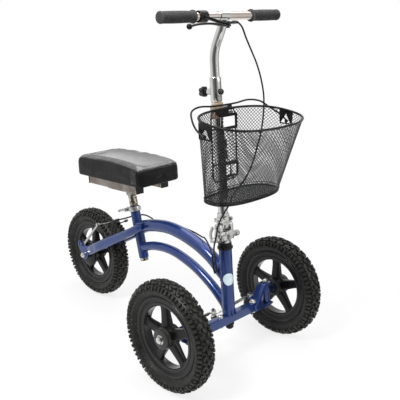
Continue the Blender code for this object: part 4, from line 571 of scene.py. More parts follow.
def carved(bm, cutters):
    """The shape less its cutters, each a shape with its place."""
    shapes = [bpy.data.objects.new("shape", bpy.data.meshes.new("shape")) for _ in range(len(cutters) + 1)]
    bm.to_mesh(shapes[0].data)
    for obj, (cutter, place) in zip(shapes[1:], cutters):
        cutter.copy().to_mesh(obj.data)
        obj.data.transform(place)
        cut = shapes[0].modifiers.new("cut", "BOOLEAN")
        cut.operation = "DIFFERENCE"
        cut.object = obj
    for obj in shapes:
        bpy.context.scene.collection.objects.link(obj)
    graph = bpy.context.evaluated_depsgraph_get()
    result = bmesh.new()
    result.from_mesh(shapes[0].evaluated_get(graph).to_mesh())
    for obj in shapes:
        bpy.data.objects.remove(obj, do_unlink=True)
    bmesh.ops.dissolve_degenerate(result, dist=1e-6, edges=result.edges)
    return result


def refined(node, finish, width):
    """The node's own shape with its edges rounded."""
    source = frame["nodes"][node]
    bm = bmesh.new()
    bm.from_mesh(source.data)
    bmesh.ops.remove_doubles(bm, verts=bm.verts, dist=2e-6)
    rounded(bm, width)
    put(node + "_finished", bm, finish, source["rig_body"], [node])


def seam(start, ahead, half, target, radius=0.0022, count=44):
    """Weld bead where a round tube meets a surface: rays along the tube find the seam."""
    tree = BVHTree.FromBMesh(target)
    start, ahead, side = Vector(start), Vector(ahead).normalized(), Vector((0, 1, 0))
    up = ahead.cross(side)
    points = []
    for k in range(count):
        angle = math.tau * k / count
        hit = tree.ray_cast(start + (side * math.cos(angle) + up * math.sin(angle)) * half, ahead)[0]
        if hit:
            points.append(hit)
    return swept(points, rippled(radius, 0.22, len(points)), 8, side=tuple(ahead), closed=True)


def rippled(radius, depth, count):
    """Round sections of a weld bead that swells and narrows."""
    return [(radius * (1 + depth * math.sin(k * 2.4)),) * 2 for k in range(count)]


# Wheels

CARCASS = mm((152.7, 0), (151.8, 10.5), (148.4, 17.8), (143.4, 23), (137.2, 26), (130, 26.4), (122.2, 22.8),
             (116, 16.2), (112.8, 14.6))


def carcass_table():
    """Points of the tyre's half section, even along its length from the crown."""
    route = [(CARCASS[1][0], -CARCASS[1][1], 0)] + [(r, y, 0) for r, y in CARCASS]
    dense = smooth_path(route, 241)
    first = min(range(len(dense)), key=lambda i: abs(dense[i].y))
    return dense[first:]


def tyre_point(table, angle, share, lift=0.0):
    """Point over the tyre: share runs from the crown to the bead, negative on the far side."""
    turn = -1 if share < 0 else 1
    position = min(abs(share), 0.999) * (len(table) - 1)
    i = int(position)
    here = table[i].lerp(table[min(i + 1, len(table) - 1)], position - i)
    along = (table[min(i + 2, len(table) - 1)] - table[max(i - 2, 0)]).normalized()
    normal = Vector((along.y, -along.x))
    radius, y = here.x + normal.x * lift, (here.y + normal.y * lift) * turn
    return Vector((radius * math.cos(angle), y, radius * math.sin(angle)))


def knob(bm, table, angle, half, low, high, lift, skew=0.0):
    """Tapered tread block over a patch of the tyre."""
    middle, reach = (low + high) / 2, (high - low) / 2
    rings = []
    for height, shrink in ((-0.0012, 1.0), (lift * 0.86, 0.9), (lift, 0.8)):
        ring = []
        for u, v in ((-1, -1), (0, -1.04), (1, -1), (1.04, 0), (1, 1), (0, 1.04), (-1, 1), (-1.04, 0)):
            share = middle + reach * v * shrink
            turn = angle + half * u * shrink + skew * v * reach
            ring.append(bm.verts.new(tyre_point(table, turn, share, height)))
        rings.append(ring)
    skin(bm, rings + [[bm.verts.new(tyre_point(table, angle, middle, lift * 1.02))]])
    bm.faces.new(rings[0])


def tyre_bm():
    """Knobbly tyre: smooth side wall with fine ribs, and rows of tread blocks."""
    table = carcass_table()
    count = 30
    ridges = []
    for i in range(-count, count + 1):
        r, y, _ = tyre_point(table, 0, i / count)
        groove = sum(0.0007 * math.exp(-((r - level) / 0.0009) ** 2) for level in (0.1178, 0.1262, 0.1345))
        ridges.append((r, y + math.copysign(groove, y)))
    inner = mm((108, -12.5), (140, -21.5), (150, 0), (140, 21.5), (108, 12.5))
    bm = turned(ridges + inner[::-1], 128, "Y")
    pairs = 34
    pitch = math.tau / pairs
    # Each block: place in the pitch, half width, nearer and farther edge, height and skew
    blocks = ((0.0, 0.2, 0.014, 0.145, 0.0062, 0.25), (0.5, 0.17, 0.18, 0.31, 0.0062, -0.3),
              (0.02, 0.11, 0.2, 0.3, 0.005, 0.2), (0.25, 0.15, 0.345, 0.56, 0.0066, 0.0),
              (0.75, 0.13, 0.36, 0.49, 0.0062, 0.0), (0.75, 0.09, 0.515, 0.59, 0.0034, 0.0))
    for i in range(pairs):
        for turn in (1, -1):
            start = i * pitch + (0 if turn > 0 else pitch / 2)
            for shift, half, low, high, lift, skew in blocks:
                here = start + pitch * (shift + random.uniform(-0.03, 0.03))
                wide = half * random.uniform(0.9, 1.08)
                tall = lift * random.uniform(0.9, 1.0)
                knob(bm, table, here, pitch * wide, low * turn, high * turn, tall, skew * turn)
    return bm


RIM_SIDE = mm((88, 3), (88.8, 9.8), (90.5, 13.6), (94.5, 15), (98.8, 15), (100.2, 14.2), (102, 14.3),
              (104.5, 15.8), (109, 16.4), (112.4, 16.1), (113.4, 15.1), (113, 13.8), (109, 13), (105, 11))
HUB_SIDE = mm((6.6, 23.6), (12.5, 23.6), (13, 22.2), (16, 22.2), (16.6, 23.8), (24, 23.8), (27.2, 22.2),
              (28.6, 18.5), (28.8, 6))
HUB_CAP = mm((11, 23), (11, 30), (12, 31.2), (26.2, 31.2), (28.6, 29.8), (29.2, 27), (29.2, 18), (28, 18))
# Spoke sections: distance from the axle, half width and half thickness
SPOKE = mm((20.5, 17.8, 12), (27, 17.2, 11.6), (34, 16, 10.8), (50, 14.5, 9.6), (68, 12.8, 8.6),
           (80, 12.6, 8.4), (86, 14, 8.8), (90.5, 17.5, 9.6))
SPOKES = 5
DRUM = mm((30, -12), (34.5, -19), (36, -22), (36, -37.2), (35, -38), (10, -38), (10, -12))


def flipped(outline, turn=-1):
    """The outline on the axle's other side, or as it is where turn is 1."""
    return [(r, y * turn) for r, y in outline]


def wheel_bm(start, outer):
    """Moulded wheel: stepped rim, five tapered spokes, hub, and its drum or cap."""
    parts = [turned(side + flipped(side[::-1]), steps, "Y")
             for side, steps in ((RIM_SIDE, 120), (HUB_SIDE, 56))]
    for number in range(SPOKES):
        a = math.radians(start) + math.tau * number / SPOKES
        path = [Vector((math.cos(a), 0, math.sin(a))) * r for r, _, _ in SPOKE]
        across = (-math.sin(a), 0, math.cos(a))
        parts.append(swept(path, [(w, t) for _, w, t in SPOKE], 32, side=across, square=4.5))
    parts.append(turned(flipped(HUB_CAP, outer), 56, "Y") if outer else turned(DRUM, 64, "Y"))
    return merged(*parts)


def make_axle_end(side, turn):
    """Washer, nut and axle stub outside a front wheel."""
    washer = pipe(0.0062, 0.0128, 0.03 * turn, 0.0322 * turn, 0.0004, 40, "Y")
    nut = softened(mm((0, 32.2), (10.6, 32.2), (10.6, 37.8), (9, 39), (0, 39)), 0.0003)
    stub = pipe(0, 0.0056, 0.0385 * turn, 0.0412 * turn, 0.0006, 24, "Y")
    end = merged(washer, turned(flipped(nut, turn), 6, "Y"), stub)
    put("front_" + side + "_axle_end", end, "chrome", "knuckle_" + side, place=FRONT[side])


def make_valve(name, body, place):
    """Valve stem that runs inward from the rim and leans aside."""
    a = math.radians(-122)
    out = Vector((math.cos(a), 0, math.sin(a)))
    lean = Vector((-out.z, 0, out.x))
    route = [out * (0.0895 - inward) + lean * aside
             for inward, aside in mm((0, 0), (10, 1), (22, 5), (34, 10))]
    sizes = [(r, r) for r in (0.0046, 0.0036, 0.003, 0.0026, 0.0034, 0.0034, 0.003)]
    put(name + "_valve", swept(smooth_path(route, 7), sizes, 16), "moulded", body, place=place)


def make_wheel(name, place, body, start, outer):
    """A wheel with its tyre, rim edges, hub bearings and valve; outer is 0 for the rear one."""
    put(name + "_tyre_tread", tyre_bm(), "tyre", body, ["tyre_" + name], place, 50)
    put(name + "_wheel_moulding", wheel_bm(start, outer), "moulded", body, ["wheel_" + name], place, 32)
    # The rim edges and barrel carry the lighter rim_edge grey: painted highlight lines along the rim.
    edge = 0.0005
    edges = [turned([(r - edge, y), (r, y + edge), (r + edge, y), (r, y - edge)], 120, "Y")
             for r, y in mm((90.4, 13.6), (90.4, -13.6), (112.6, 16.1), (112.6, -16.1))]
    barrel = pipe(0.0874, 0.088, -0.0118, 0.0118, 0, 120, "Y")
    put(name + "_rim_edges", merged(barrel, *edges), "rim_edge", body, place=place)
    rings = [pipe(0.0068, 0.0124, 0.0228 * turn, 0.0215 * turn, 0.0004, 40, "Y")
             for turn in ((1, -1) if outer else (1,))]
    put(name + "_hub_bearing", merged(*rings), "steel", body, place=place)
    make_valve(name, body, place)


def make_wheels():
    """Rear wheel with its brake drum, and two front wheels with hub caps and axle ends."""
    make_wheel("rear", REAR, "rear_wheel", 93, 0)
    for (side, turn), start in zip(SIDES, (93, 99)):
        make_wheel("front_" + side, FRONT[side], "front_wheel_" + side, start, turn)
        make_axle_end(side, turn)


# Frame

ARCH = mm((-404, 0, 311), (-343, 0, 331), (-294, 0, 342), (-247, 0, 347), (-201, 0, 344), (-157, 0, 336),
          (-114, 0, 324), (-72, 0, 306), (-43, 0, 288), (-10, 0, 259))
LOW_ARCH = mm((-392, 0, 240), (-356, 0, 256), (-320, 0, 267), (-272, 0, 274), (-225, 0, 273), (-180, 0, 264),
              (-135, 0, 250), (-92, 0, 230), (-50, 0, 204), (-6, 0, 168))


def make_frame():
    """Arched tubes, head tube, seat tube and their welds."""
    head = pipe(HEAD_BORE, HEAD_RADIUS, HEAD_FOOT, HEAD_TOP, 0.0008, 64)
    seat = pipe(SEAT_BORE, SEAT_RADIUS, -SEAT_LENGTH, 0, 0.0006, 64)
    head.transform(LEAN)
    seat.transform(SEAT)
    radii = [(ARCH_RADIUS, ARCH_RADIUS)] * 38 + mm((19.2, 19.2), (17.8, 17.8))
    head_cut, seat_cut = HEAD_RADIUS - 0.0004, SEAT_RADIUS - 0.0005
    bores = [(pipe(0, head_cut, -0.05, 0.22, 0, 64), LEAN), (pipe(0, seat_cut, -0.2, 0.02, 0, 64), SEAT)]
    main = carved(swept([WALKER @ p for p in smooth_path(ARCH, 40)], radii, 48), bores)
    lower = carved(swept([WALKER @ p for p in smooth_path(LOW_ARCH, 40)], LOW_ARCH_RADIUS, 40), bores)
    beads = []
    low_half = LOW_ARCH_RADIUS + 0.0001
    for outer, inner, half, target in ((ARCH[-3], ARCH[-1], head_cut, head),
                                       (LOW_ARCH[-3], LOW_ARCH[-1], low_half, head),
                                       (ARCH[2], ARCH[0], seat_cut, seat),
                                       (LOW_ARCH[2], LOW_ARCH[0], low_half, seat)):
        end = WALKER @ Vector(inner)
        ahead = (end - WALKER @ Vector(outer)).normalized()
        beads.append(seam(end - ahead * 0.045, ahead, half, target))
    rib = mm((16.5, -13.7), (24, -13.7), (25, -12), (16.5, 12.3))
    ribs = [(plate([rib], y - 0.0018, y + 0.0018, "Y", 0.0005), LEAN) for y in (-0.007, 0.007)]
    head = merged(head, *ribs)
    for name, tube in (("head", head), ("seat", seat), ("main", main), ("lower", lower)):
        put(name + "_tube_finished", tube, "blue", "frame", [name + "_tube"])
    put("frame_weld_beads", merged(*beads), "weld", "frame")


STAY = mm((-346, 30, 332), (-362, 33, 325), (-397, 40, 303), (-425, 42, 288), (-451, 43, 273),
          (-501, 46, 246), (-553, 50.5, 217), (-596, 51.5, 193), (-622, 52.5, 178))
STAY_SIZES = mm((6, 10), (12, 13), (14, 14), (14, 15), (14, 16.2), (14, 17), (13.5, 17), (8.5, 17), (3, 15))


def fine_sections(route, sizes, count):
    """Even points along the route with the sizes eased between them."""
    points = smooth_path(route, count)
    knots = [Vector(p) for p in route]
    total = [0.0]
    for a, b in zip(knots, knots[1:]):
        total.append(total[-1] + (b - a).length)
    result = []
    for i in range(count):
        wanted = total[-1] * i / (count - 1)
        k = max(j for j in range(len(total)) if total[j] <= wanted + 1e-9)
        k = min(k, len(total) - 2)
        t = (wanted - total[k]) / (total[k + 1] - total[k])
        t = t * t * (3 - 2 * t)
        a, b = sizes[k], sizes[k + 1]
        result.append((a[0] + (b[0] - a[0]) * t, a[1] + (b[1] - a[1]) * t))
    return points, result


def make_stays():
    """Rear stays with their dropout plates, the slotted tabs above them and the front welds."""
    steps = 13
    for side, turn in SIDES:
        points, sizes = fine_sections([(x, y * turn, z) for x, y, z in STAY], STAY_SIZES, 34)
        outline = mm((-606, 199), (-618, 170), (-628, 150))
        outline += arc((-WHEELBASE, TYRE_RADIUS), 0.017, -60, -170, 12)
        outline += mm((-680, 190), (-677, 203), (-672, 206), (-664, 202), (-655, 188), (-630, 196))
        hole = arc((-WHEELBASE, TYRE_RADIUS), 0.0063, 0, 337.5, 16)
        slot = mm((-675, 199), (-670, 185), (-666, 187), (-670, 201))
        dropout = plate([outline, hole, slot], *span(0.05, 0.055, turn), "Y", 0.0006)
        stay = merged(swept(points, sizes, 36), dropout)
        put("stay_%s_finished" % side, stay, "blue", "frame", ["stay_" + side], WALKER)
        bead = []
        for t in (k / steps for k in range(steps + 1)):
            z = 0.3425 - 0.05 * t + 0.009 * math.sin(math.pi * t)
            bead.append((-0.35 - 0.052 * t, (0.0205 + 0.008 * t) * turn, z))
        weld = swept(bead, rippled(0.0024, 0.2, steps + 1), 8)
        put("stay_%s_weld" % side, weld, "weld", "frame", place=WALKER)


def make_cable_holder():
    """Holder of the brake cable's end, standing on the right stay, and its second lead."""
    parts = [block((-0.502, -0.036, 0.262), (-0.458, -0.013, 0.298), 0.003),
             block((-0.494, -0.033, 0.294), (-0.474, -0.017, 0.316), 0.003),
             block((-0.47, -0.031, 0.296), (-0.46, -0.019, 0.308), 0.002)]
    parts += [(pipe(0, 0.0042, 0.0, 0.0035, 0.0005, 6, "Y"), at(x, -0.039, z))
              for x, z in ((-0.484, 0.283), (-0.466, 0.272))]
    lead = smooth_path(mm((-496, -25, 297), (-461, -25, 317), (-426, -25, 334.5)), 16)
    parts.append(swept(lead, [(0.002, 0.002)] * 12 + [(0.0042, 0.0042)] * 3 + [(0.0024, 0.0024)], 14))
    put("brake_cable_holder", merged(*parts), "moulded", "frame", place=WALKER)


def make_beam():
    """Box beam with bent yokes, silver dome caps on top and hexagon nuts below."""
    low, high = -0.04, -0.014
    inner_top, top, reach = 0.025, 0.032, 0.184
    beam = block((-0.013, -0.112, low), (0.013, 0.112, high), 0.0028)
    outline = [(0.1, low), (reach - 0.004, low), (reach, low + 0.003), (reach, low + 0.007),
               (0.116, low + 0.007), (0.1135, low + 0.01), (0.1145, low + 0.014), (0.1545, inner_top),
               (reach, inner_top), (reach, top - 0.003), (reach - 0.004, top), (0.1505, top),
               (0.1465, top - 0.0025), (0.1105, high - 0.006), (0.1, high - 0.006)]
    yokes = [plate([[(y * turn, z) for y, z in outline]], -0.015, 0.015, "X", 0.0008) for _, turn in SIDES]
    put("front_beam_finished", merged(beam, *yokes), "blue", "frame", ["front_beam"], LEAN)
    dome = mm((0, 8.8), (3, 8.6), (5.8, 7.4), (7.8, 5.2), (8.4, 2.8), (10, 2.2), (10.2, 0.4), (0, 0.4))
    nut = mm((0, -6.6), (6, -6.6), (7.6, -5.5), (7.6, -0.4), (0, -0.4))
    caps = []
    for y in (0.106, -0.106, -0.037):
        caps += [(turned(dome, 40), at(0, y, high)), (turned(nut, 6), at(0, y, low))]
    put("beam_bolt_caps", merged(*caps), "steel", "frame", place=LEAN)


def make_headset():
    """Bearing cups over the head tube."""
    cup = mm((13.1, 0.5), (21.2, 0.5), (22.4, 1.8), (22.7, 5), (22.1, 8.2), (19.2, 9.6), (18.6, 11),
             (19.6, 13), (19.6, 18.5), (18.8, 20), (13.1, 20))
    place = LEAN @ at(0, 0, HEAD_TOP)
    put("headset_cup_finished", turned(cup, 64), "black_metal", "frame", ["headset_cup"], place)


# Column, stem and bar

def make_column():
    """Outer column with its clamp sleeve, boss and slot."""
    low, top, collar = 0.2783, 0.67, 0.604
    outline = [(0.0127, low), (0.014, low), (0.014, collar - 0.0015), (0.0152, collar),
               (0.0162, collar + 0.002), (0.0162, top - 0.004), (0.0158, top - 0.0018),
               (0.015, top - 0.0004), (0.0128, top - 0.0004)]
    boss = softened(mm((0, -29.7), (5, -29.7), (8.6, -29.7), (8.6, -12), (0, -12)), 0.0008)
    tube = merged(turned(outline, 72), (turned(boss, 40, "X"), at(0, 0, 0.6305)))
    put("column_tube_finished", tube, "chrome", "column", ["column_tube"], LEAN)
    slot = block((0.015, -0.001, 0.64), (0.0164, 0.001, 0.669), 0.0003)
    put("column_slot", slot, "moulded", "column", place=LEAN)


def make_stem():
    """Sliding stem that bends forward to its clamp, and the bar in it."""
    neck = smooth_path(mm((0, 0, 700), (1, 0, 722), (8, 0, 748), (21, 0, 772), (33, 0, 794),
                          (39, 0, 812)), 26)
    route = [(0, 0, z) for z in (0.48, 0.56, 0.64, 0.69)] + neck[1:]
    clamp = pipe(0.0114, 0.0128, -0.018, 0.018, 0.0006, 56, "Y")
    stem = merged(swept(route, STEM_RADIUS, 48), (clamp, at(BAR_X, 0, BAR_Z)))
    put("stem_finished", stem, "chrome", "stem", ["stem"], LEAN)
    bar = pipe(BAR_RADIUS - 0.002, BAR_RADIUS, -BAR_HALF, BAR_HALF, 0, 48, "Y")
    put("handlebar_finished", bar, "bar", "stem", ["handlebar"], BAR)


def make_grips():
    """Grips with a flange, a row of rounded ribs and a closed end."""
    outline = mm((11.1, 107), (16, 107), (16.8, 108), (16.8, 110.5), (16, 112), (14, 113.5))
    first, pitch, length = 0.115, 0.0034, 0.097
    for rib in range(29):
        y = first + pitch * rib
        swell = 0.0136 + 0.0006 * math.sin(math.pi * (y - first) / length)
        outline += [(swell + rise, y + along) for rise, along in mm((0, 0), (0.8, 0.7), (0.8, 1.9), (0, 2.6))]
    outline += mm((15, 214), (15.2, 216.5), (14.4, 218.8), (11.8, 220), (0, 220), (0, 216.5), (11.1, 216.5))
    for side, turn in SIDES:
        grip = turned(flipped(outline, turn), 56, "Y")
        put("grip_%s_finished" % side, grip, "grip", "stem", ["grip_" + side], BAR)


def make_perch():
    """Brake perch: clamp on the bar, curved arm, the lever's pivot and the cable's barrel."""
    x, y, z = LEVER_PIVOT
    arm = [(BAR_X + 0.013, -0.08, BAR_Z - 0.002), (BAR_X + 0.024, -0.062, BAR_Z - 0.01),
           (x - 0.004, -0.042, z + 0.001), LEVER_PIVOT, (x - 0.003, -0.008, z + 0.001),
           (x - 0.007, 0.006, z + 0.0015)]
    pin = softened(mm((0, -12), (4.8, -12), (4.8, -9), (2.7, -9), (2.7, -3), (7.8, -3), (7.8, 3.5),
                      (4.5, 3.5), (4.5, 5.2), (0, 5.2)), 0.0006)
    barrel = softened(mm((1, 0), (4.6, 0), (4.6, 10), (3.8, 11), (3.8, 18), (1, 18)), 0.0005)
    perch = merged((pipe(0.0112, 0.015, -0.092, -0.064, 0.0012, 48, "Y"), at(BAR_X, 0, BAR_Z)),
                   swept(smooth_path(arm, 24), (0.0064, 0.0034), 24, side=(1, 0, 0), square=3),
                   (turned(pin, 32), at(x, y, z)),
                   (turned(barrel, 32, "Y"), at(x - 0.0085, 0.002, z + 0.0018)))
    put("brake_perch_finished", perch, "black_metal", "stem", ["brake_perch"], LEAN)


def make_lever():
    """Brake lever: a bent blade with a ball end."""
    route = mm((1, -5.5, -6), (6, -30, -5), (10, -70, -0.5), (7, -112, -1), (3, -138, -5.3))
    ball = turned(arc((0, 0), 0.0072, -90, 90, 13), 28, "Y")
    lever = merged(pipe(0.0031, 0.0078, -0.0085, -0.0034, 0.0006, 36),
                   swept(smooth_path(route, 26), (0.0056, 0.0028), 24, side=(1, 0, 0), square=2.8),
                   (ball, at(*route[-1])))
    place = LEAN @ at(*LEVER_PIVOT)
    put("brake_lever_finished", lever, "black_metal", "brake_lever", ["brake_lever"], place)


# Basket

RIM_TILT = -0.12
WIRE = 0.003
BASE_X = 0.05
BASE_LEVEL = 0.519
RIM_LEVEL = 0.7326
BAIL_PIVOT = (0.065, 0.152, 0.702)


def superellipse(angle, semi):
    """Point of a rounded oval with the given half lengths."""
    power = 2 / 2.5
    c, s = math.cos(angle), math.sin(angle)
    return semi[0] * math.copysign(abs(c) ** power, c), semi[1] * math.copysign(abs(s) ** power, s)


def basket_point(angle, height, grow=0.0):
    """Point on the basket wall; height 0 is the base, 1 the tilted rim."""
    base = superellipse(angle, (0.058 + grow, 0.125 + grow))
    rim = superellipse(angle, (0.0988 + grow, 0.1564 + grow))
    low = Vector((BASE_X + base[0], base[1], BASE_LEVEL))
    high = Vector((0.0776 + rim[0] * math.cos(RIM_TILT), rim[1], RIM_LEVEL + rim[0] * math.sin(RIM_TILT)))
    return low.lerp(high, height)


def even_angles(count):
    """Angles at which the wall's points stand evenly round it."""
    dense = [math.tau * i / 2000 for i in range(2001)]
    lengths = [0.0]
    for a, b in zip(dense, dense[1:]):
        lengths.append(lengths[-1] + (basket_point(b, 0.6) - basket_point(a, 0.6)).length)
    angles = []
    index = 0
    for i in range(count):
        wanted = lengths[-1] * i / count
        while lengths[index + 1] < wanted:
            index += 1
        angles.append(dense[index])
    return angles


def strand(bm, a, b, out, half=0.00058):
    """Three-sided strand of expanded metal between two knots."""
    along = (b - a).normalized()
    wide = along.cross(out).normalized()
    out = wide.cross(along)
    shifts = [wide * half * 1.25 - out * half * 0.6, -wide * half * 1.25 - out * half * 0.6, out * half]
    first, last = ([bm.verts.new(end + s) for s in shifts] for end in (a, b))
    skin(bm, (first, last))
    bm.faces.new(first[::-1])
    bm.faces.new(last)


EAR_WINDOW = mm((-18, -5), (17, -5), (0, 21.5))
# Plates on the column's side: each outline with its windows, as left, foot, right and head
PLATES = (mm((-12, 686.5, 52, 729), (-4, 693.5, 41.5, 721.5)),
          mm((-10, 553.5, 52, 594.5), (-1.5, 560, 18, 588.5), (24.5, 559, 45, 587.5)))


def in_window(point):
    """Whether the wall is open here: behind the ears' triangles and the plates' windows."""
    if point.x < 0.01:
        return any(low < point.y < high and foot < point.z < top
                   for _, *holes in PLATES for low, foot, high, top in holes)
    bx, by, bz = BAIL_PIVOT
    z = point.z - bz
    reach = (EAR_WINDOW[2][1] - z) / (EAR_WINDOW[2][1] - EAR_WINDOW[0][1])
    return abs(point.y) > by - 0.02 and z > EAR_WINDOW[0][1] and abs(point.x - bx) < 0.0175 * reach


def make_mesh_wall():
    """Fine diamond lattice of the wall, heavier on the side that faces the camera."""
    bm = bmesh.new()
    columns, rows = 80, 46
    angles = even_angles(columns * 2)
    knots = []
    for j in range(rows + 1):
        height = 0.008 + 0.984 * j / rows
        knots.append([basket_point(angles[(2 * i + j % 2) % (2 * columns)], height) for i in range(columns)])
    for j in range(rows):
        for i in range(columns):
            a = knots[j][i]
            out = Vector((a.x - 0.062, a.y, 0)).normalized()
            other = i - 1 if j % 2 == 0 else i + 1
            half = 0.00078 if a.x * 0.76 - a.y * 0.65 > 0.03 else 0.00058
            for b in (knots[j + 1][i], knots[j + 1][other % columns]):
                if not in_window((a + b) / 2):
                    strand(bm, a, b, out, half)
    put("basket_mesh_wall", bm, "black_metal", "basket", ["basket_mesh"], WALKER, 60)


def make_mesh_floor():
    """Diamond lattice of the basket's floor."""
    bm = bmesh.new()
    pitch_x, pitch_y = 0.0064, 0.0078
    half_x, half_y = 0.056, 0.123
    for row in range(-18, 19):
        for column in range(-17, 18):
            x, y = pitch_x * row / 2, pitch_y * (column + 0.5 * (row % 2))
            for turn in (1, -1):
                ends = (x, y), (x + pitch_x / 2, y + turn * pitch_y / 2)
                if all(abs(u / half_x) ** 2.5 + abs(v / half_y) ** 2.5 < 1 for u, v in ends):
                    a, b = (Vector((BASE_X + u, v, BASE_LEVEL)) for u, v in ends)
                    strand(bm, a, b, Vector((0, 0, 1)), 0.00062)
    put("basket_mesh_floor", bm, "black_metal", "basket", ["basket_floor"], WALKER, 60)


def basket_hoop(height, radius, grow=0.0):
    """Wire that runs round the basket at a height."""
    points = [basket_point(a, height, grow) for a in even_angles(96)]
    return swept(points, radius, 14, side=(0, 0, 1), closed=True)


def ear_bm(turn):
    """Ear plate with its triangular window and the ring that the bail hooks into."""
    bx, by, bz = BAIL_PIVOT
    outline = mm((-23.5, 32.5), (22.5, 30), (22, 8), (20.5, -8.5), (-21.2, -8.5), (-22.8, 8))
    ear = plate([outline, EAR_WINDOW], *span(by + 0.0058, by + 0.0082, turn), "Y", 0.0004)
    ring = pipe(0.0031, 0.0052, *span(by + 0.0072, by + 0.0102, turn), 0, 32, "Y")
    return merged((ear, at(bx, 0, bz)), (ring, at(bx, 0, bz)))


def make_basket():
    """Rim and base wires, ears and the plates with windows on the column's side."""
    parts = [basket_hoop(1.0, WIRE), basket_hoop(0.0, WIRE), basket_hoop(0.035, 0.0016, 0.0012)]
    parts += [ear_bm(1), ear_bm(-1)]
    for openings in PLATES:
        loops = [[(left, foot), (right, foot), (right, head), (left, head)]
                 for left, foot, right, head in openings]
        sheet = plate(loops, -0.0012, 0.0012, "X", 0.0004)
        for vert in sheet.verts:
            share = (vert.co.z - BASE_LEVEL) / (basket_point(math.pi, 1).z - BASE_LEVEL)
            vert.co.x += basket_point(math.pi, min(1, share)).x - 0.0024
        parts.append(sheet)
    put("basket_wires_finished", merged(*parts), "black_metal", "basket", ["basket_wires"], WALKER)


# Parts of the bracket: name, finish and two corners in millimetres
BRACKET = (("fork", "warm_steel", (14.4, -37, 579.5), (18.6, 6, 603)),
           ("plate", "steel", (14.4, 4, 585.3), (18, 35.5, 596.1)),
           ("stop", "moulded", (15, 23.5, 579.7), (19.6, 39.2, 595.3)),
           ("latch", "moulded", (14.4, -14, 562.8), (19, 23.5, 579.1)),
           ("hook", "warm_steel", (13, -42, 561.3), (18, -10.5, 578.5)),
           ("catch", "steel", (14.4, 18, 562), (18.6, 42, 576.5)),
           ("clamp", "moulded", (13.4, -21, 476.1), (16.4, 15, 501)),
           ("strip", "moulded", (13.8, -12.5, 336), (15, 8.5, 530)),
           ("grip", "moulded", (13.4, -18, 444.2), (16, 15, 470.1)))


def make_bracket():
    """Parts of the basket's bracket on the column."""
    for name, finish, low, high in BRACKET:
        put("bracket_" + name, block(*mm(low, high), 0.0012), finish, "column", place=LEAN)


def make_bail():
    """Bail that hooks into both ears."""
    bx, by, bz = BAIL_PIVOT
    top, back = 0.059, -0.085
    half = [(0, by + 0.0128, 0), (back * 0.32, by + 0.0126, top * 0.28), (back * 0.66, by * 0.99, top * 0.6),
            (back * 0.88, by * 0.87, top * 0.87), (back, by * 0.62, top * 0.97),
            (back, by * 0.3, top * 0.91)]
    route = half + [(back, 0, top * 0.9)] + [(x, -y, z) for x, y, z in reversed(half)]
    bail = [swept(smooth_path(route, 110), 0.0025, 16, side=(0, 0, 1))]
    for _, turn in SIDES:
        bail.append(pipe(0, 0.0028, *span(by + 0.0045, by + 0.0142, turn), 0.0006, 24, "Y"))
    put("basket_bail_finished", merged(*bail), "black_metal", "bail", ["basket_bail"], WALKER @ at(bx, 0, bz))


# Knee pad

def pad_outline(half_length, half_width, corner, step):
    """Rounded rectangle as evenly stepped points."""
    points = []
    for sx, sy, start in ((1, 1, 0), (-1, 1, 90), (-1, -1, 180), (1, -1, 270)):
        points += arc((sx * (half_length - corner), sy * (half_width - corner)), corner, start, start + 90, 9)
    even = []
    for a, b in zip(points, points[1:] + points[:1]):
        a, b = Vector(a), Vector(b)
        parts = max(1, round((b - a).length / step))
        even += [tuple(a.lerp(b, k / parts)) for k in range(parts)]
    return even


PAD_LENGTH = 0.17
PAD_WIDTH = 0.086
PAD_FOOT = 0.0016
PAD_CORNER = 0.02
BAND_END = 0.122


def pad_crest(x):
    """Height of the raised sides: level behind and falling away to the front."""
    ahead, behind = max(0.0, x) / PAD_LENGTH, max(0.0, -x) / PAD_LENGTH
    return 0.0775 - 0.0135 * ahead ** 2 - 0.0079 * behind ** 2


def pad_top(x, y):
    """Height of the top: a long trough between raised sides."""
    lateral = 1 - min(1, abs(y) / 0.074) ** 2
    depth = 0.0135 - 0.0065 * min(1, max(0.0, x) / PAD_LENGTH) ** 2
    return pad_crest(x) - depth * lateral


def cushion_bm():
    """Closed crowned cushion, a little under size, for the cloth to swell."""
    levels = mm((12, 0), (4.5, 1.2), (2.5, 6), (1.5, 16), (1, 32), (1.4, 46), (3, 56), (7, 63.5), (14, 69))
    step, full = 0.009, 0.0728
    count = len(pad_outline(PAD_LENGTH, PAD_WIDTH, PAD_CORNER, step))
    rings = []
    for inset, height in levels:
        outline = pad_outline(PAD_LENGTH - inset, PAD_WIDTH - inset, PAD_CORNER - inset * 0.2, step)
        ring = [(x, y, PAD_FOOT + height * pad_crest(x) / full) for x, y in outline]
        rings.append([ring[int(k * len(ring) / count)] for k in range(count)])
    rim = rings[-1]
    for share in (0.9, 0.78, 0.64, 0.48, 0.3, 0.12):
        inward = [(x * (0.3 + 0.7 * share), y * share) for x, y, _ in rim]
        rings.append([(x, y, pad_top(x, y)) for x, y in inward])
    bm = bmesh.new()
    verts = [[bm.verts.new(p) for p in ring] for ring in rings]
    skin(bm, verts)
    bm.faces.new(verts[0])
    bm.faces.new(verts[-1])
    bmesh.ops.triangulate(bm, faces=[f for f in bm.faces if len(f.verts) > 4])
    bmesh.ops.recalc_face_normals(bm, faces=bm.faces)
    return bm


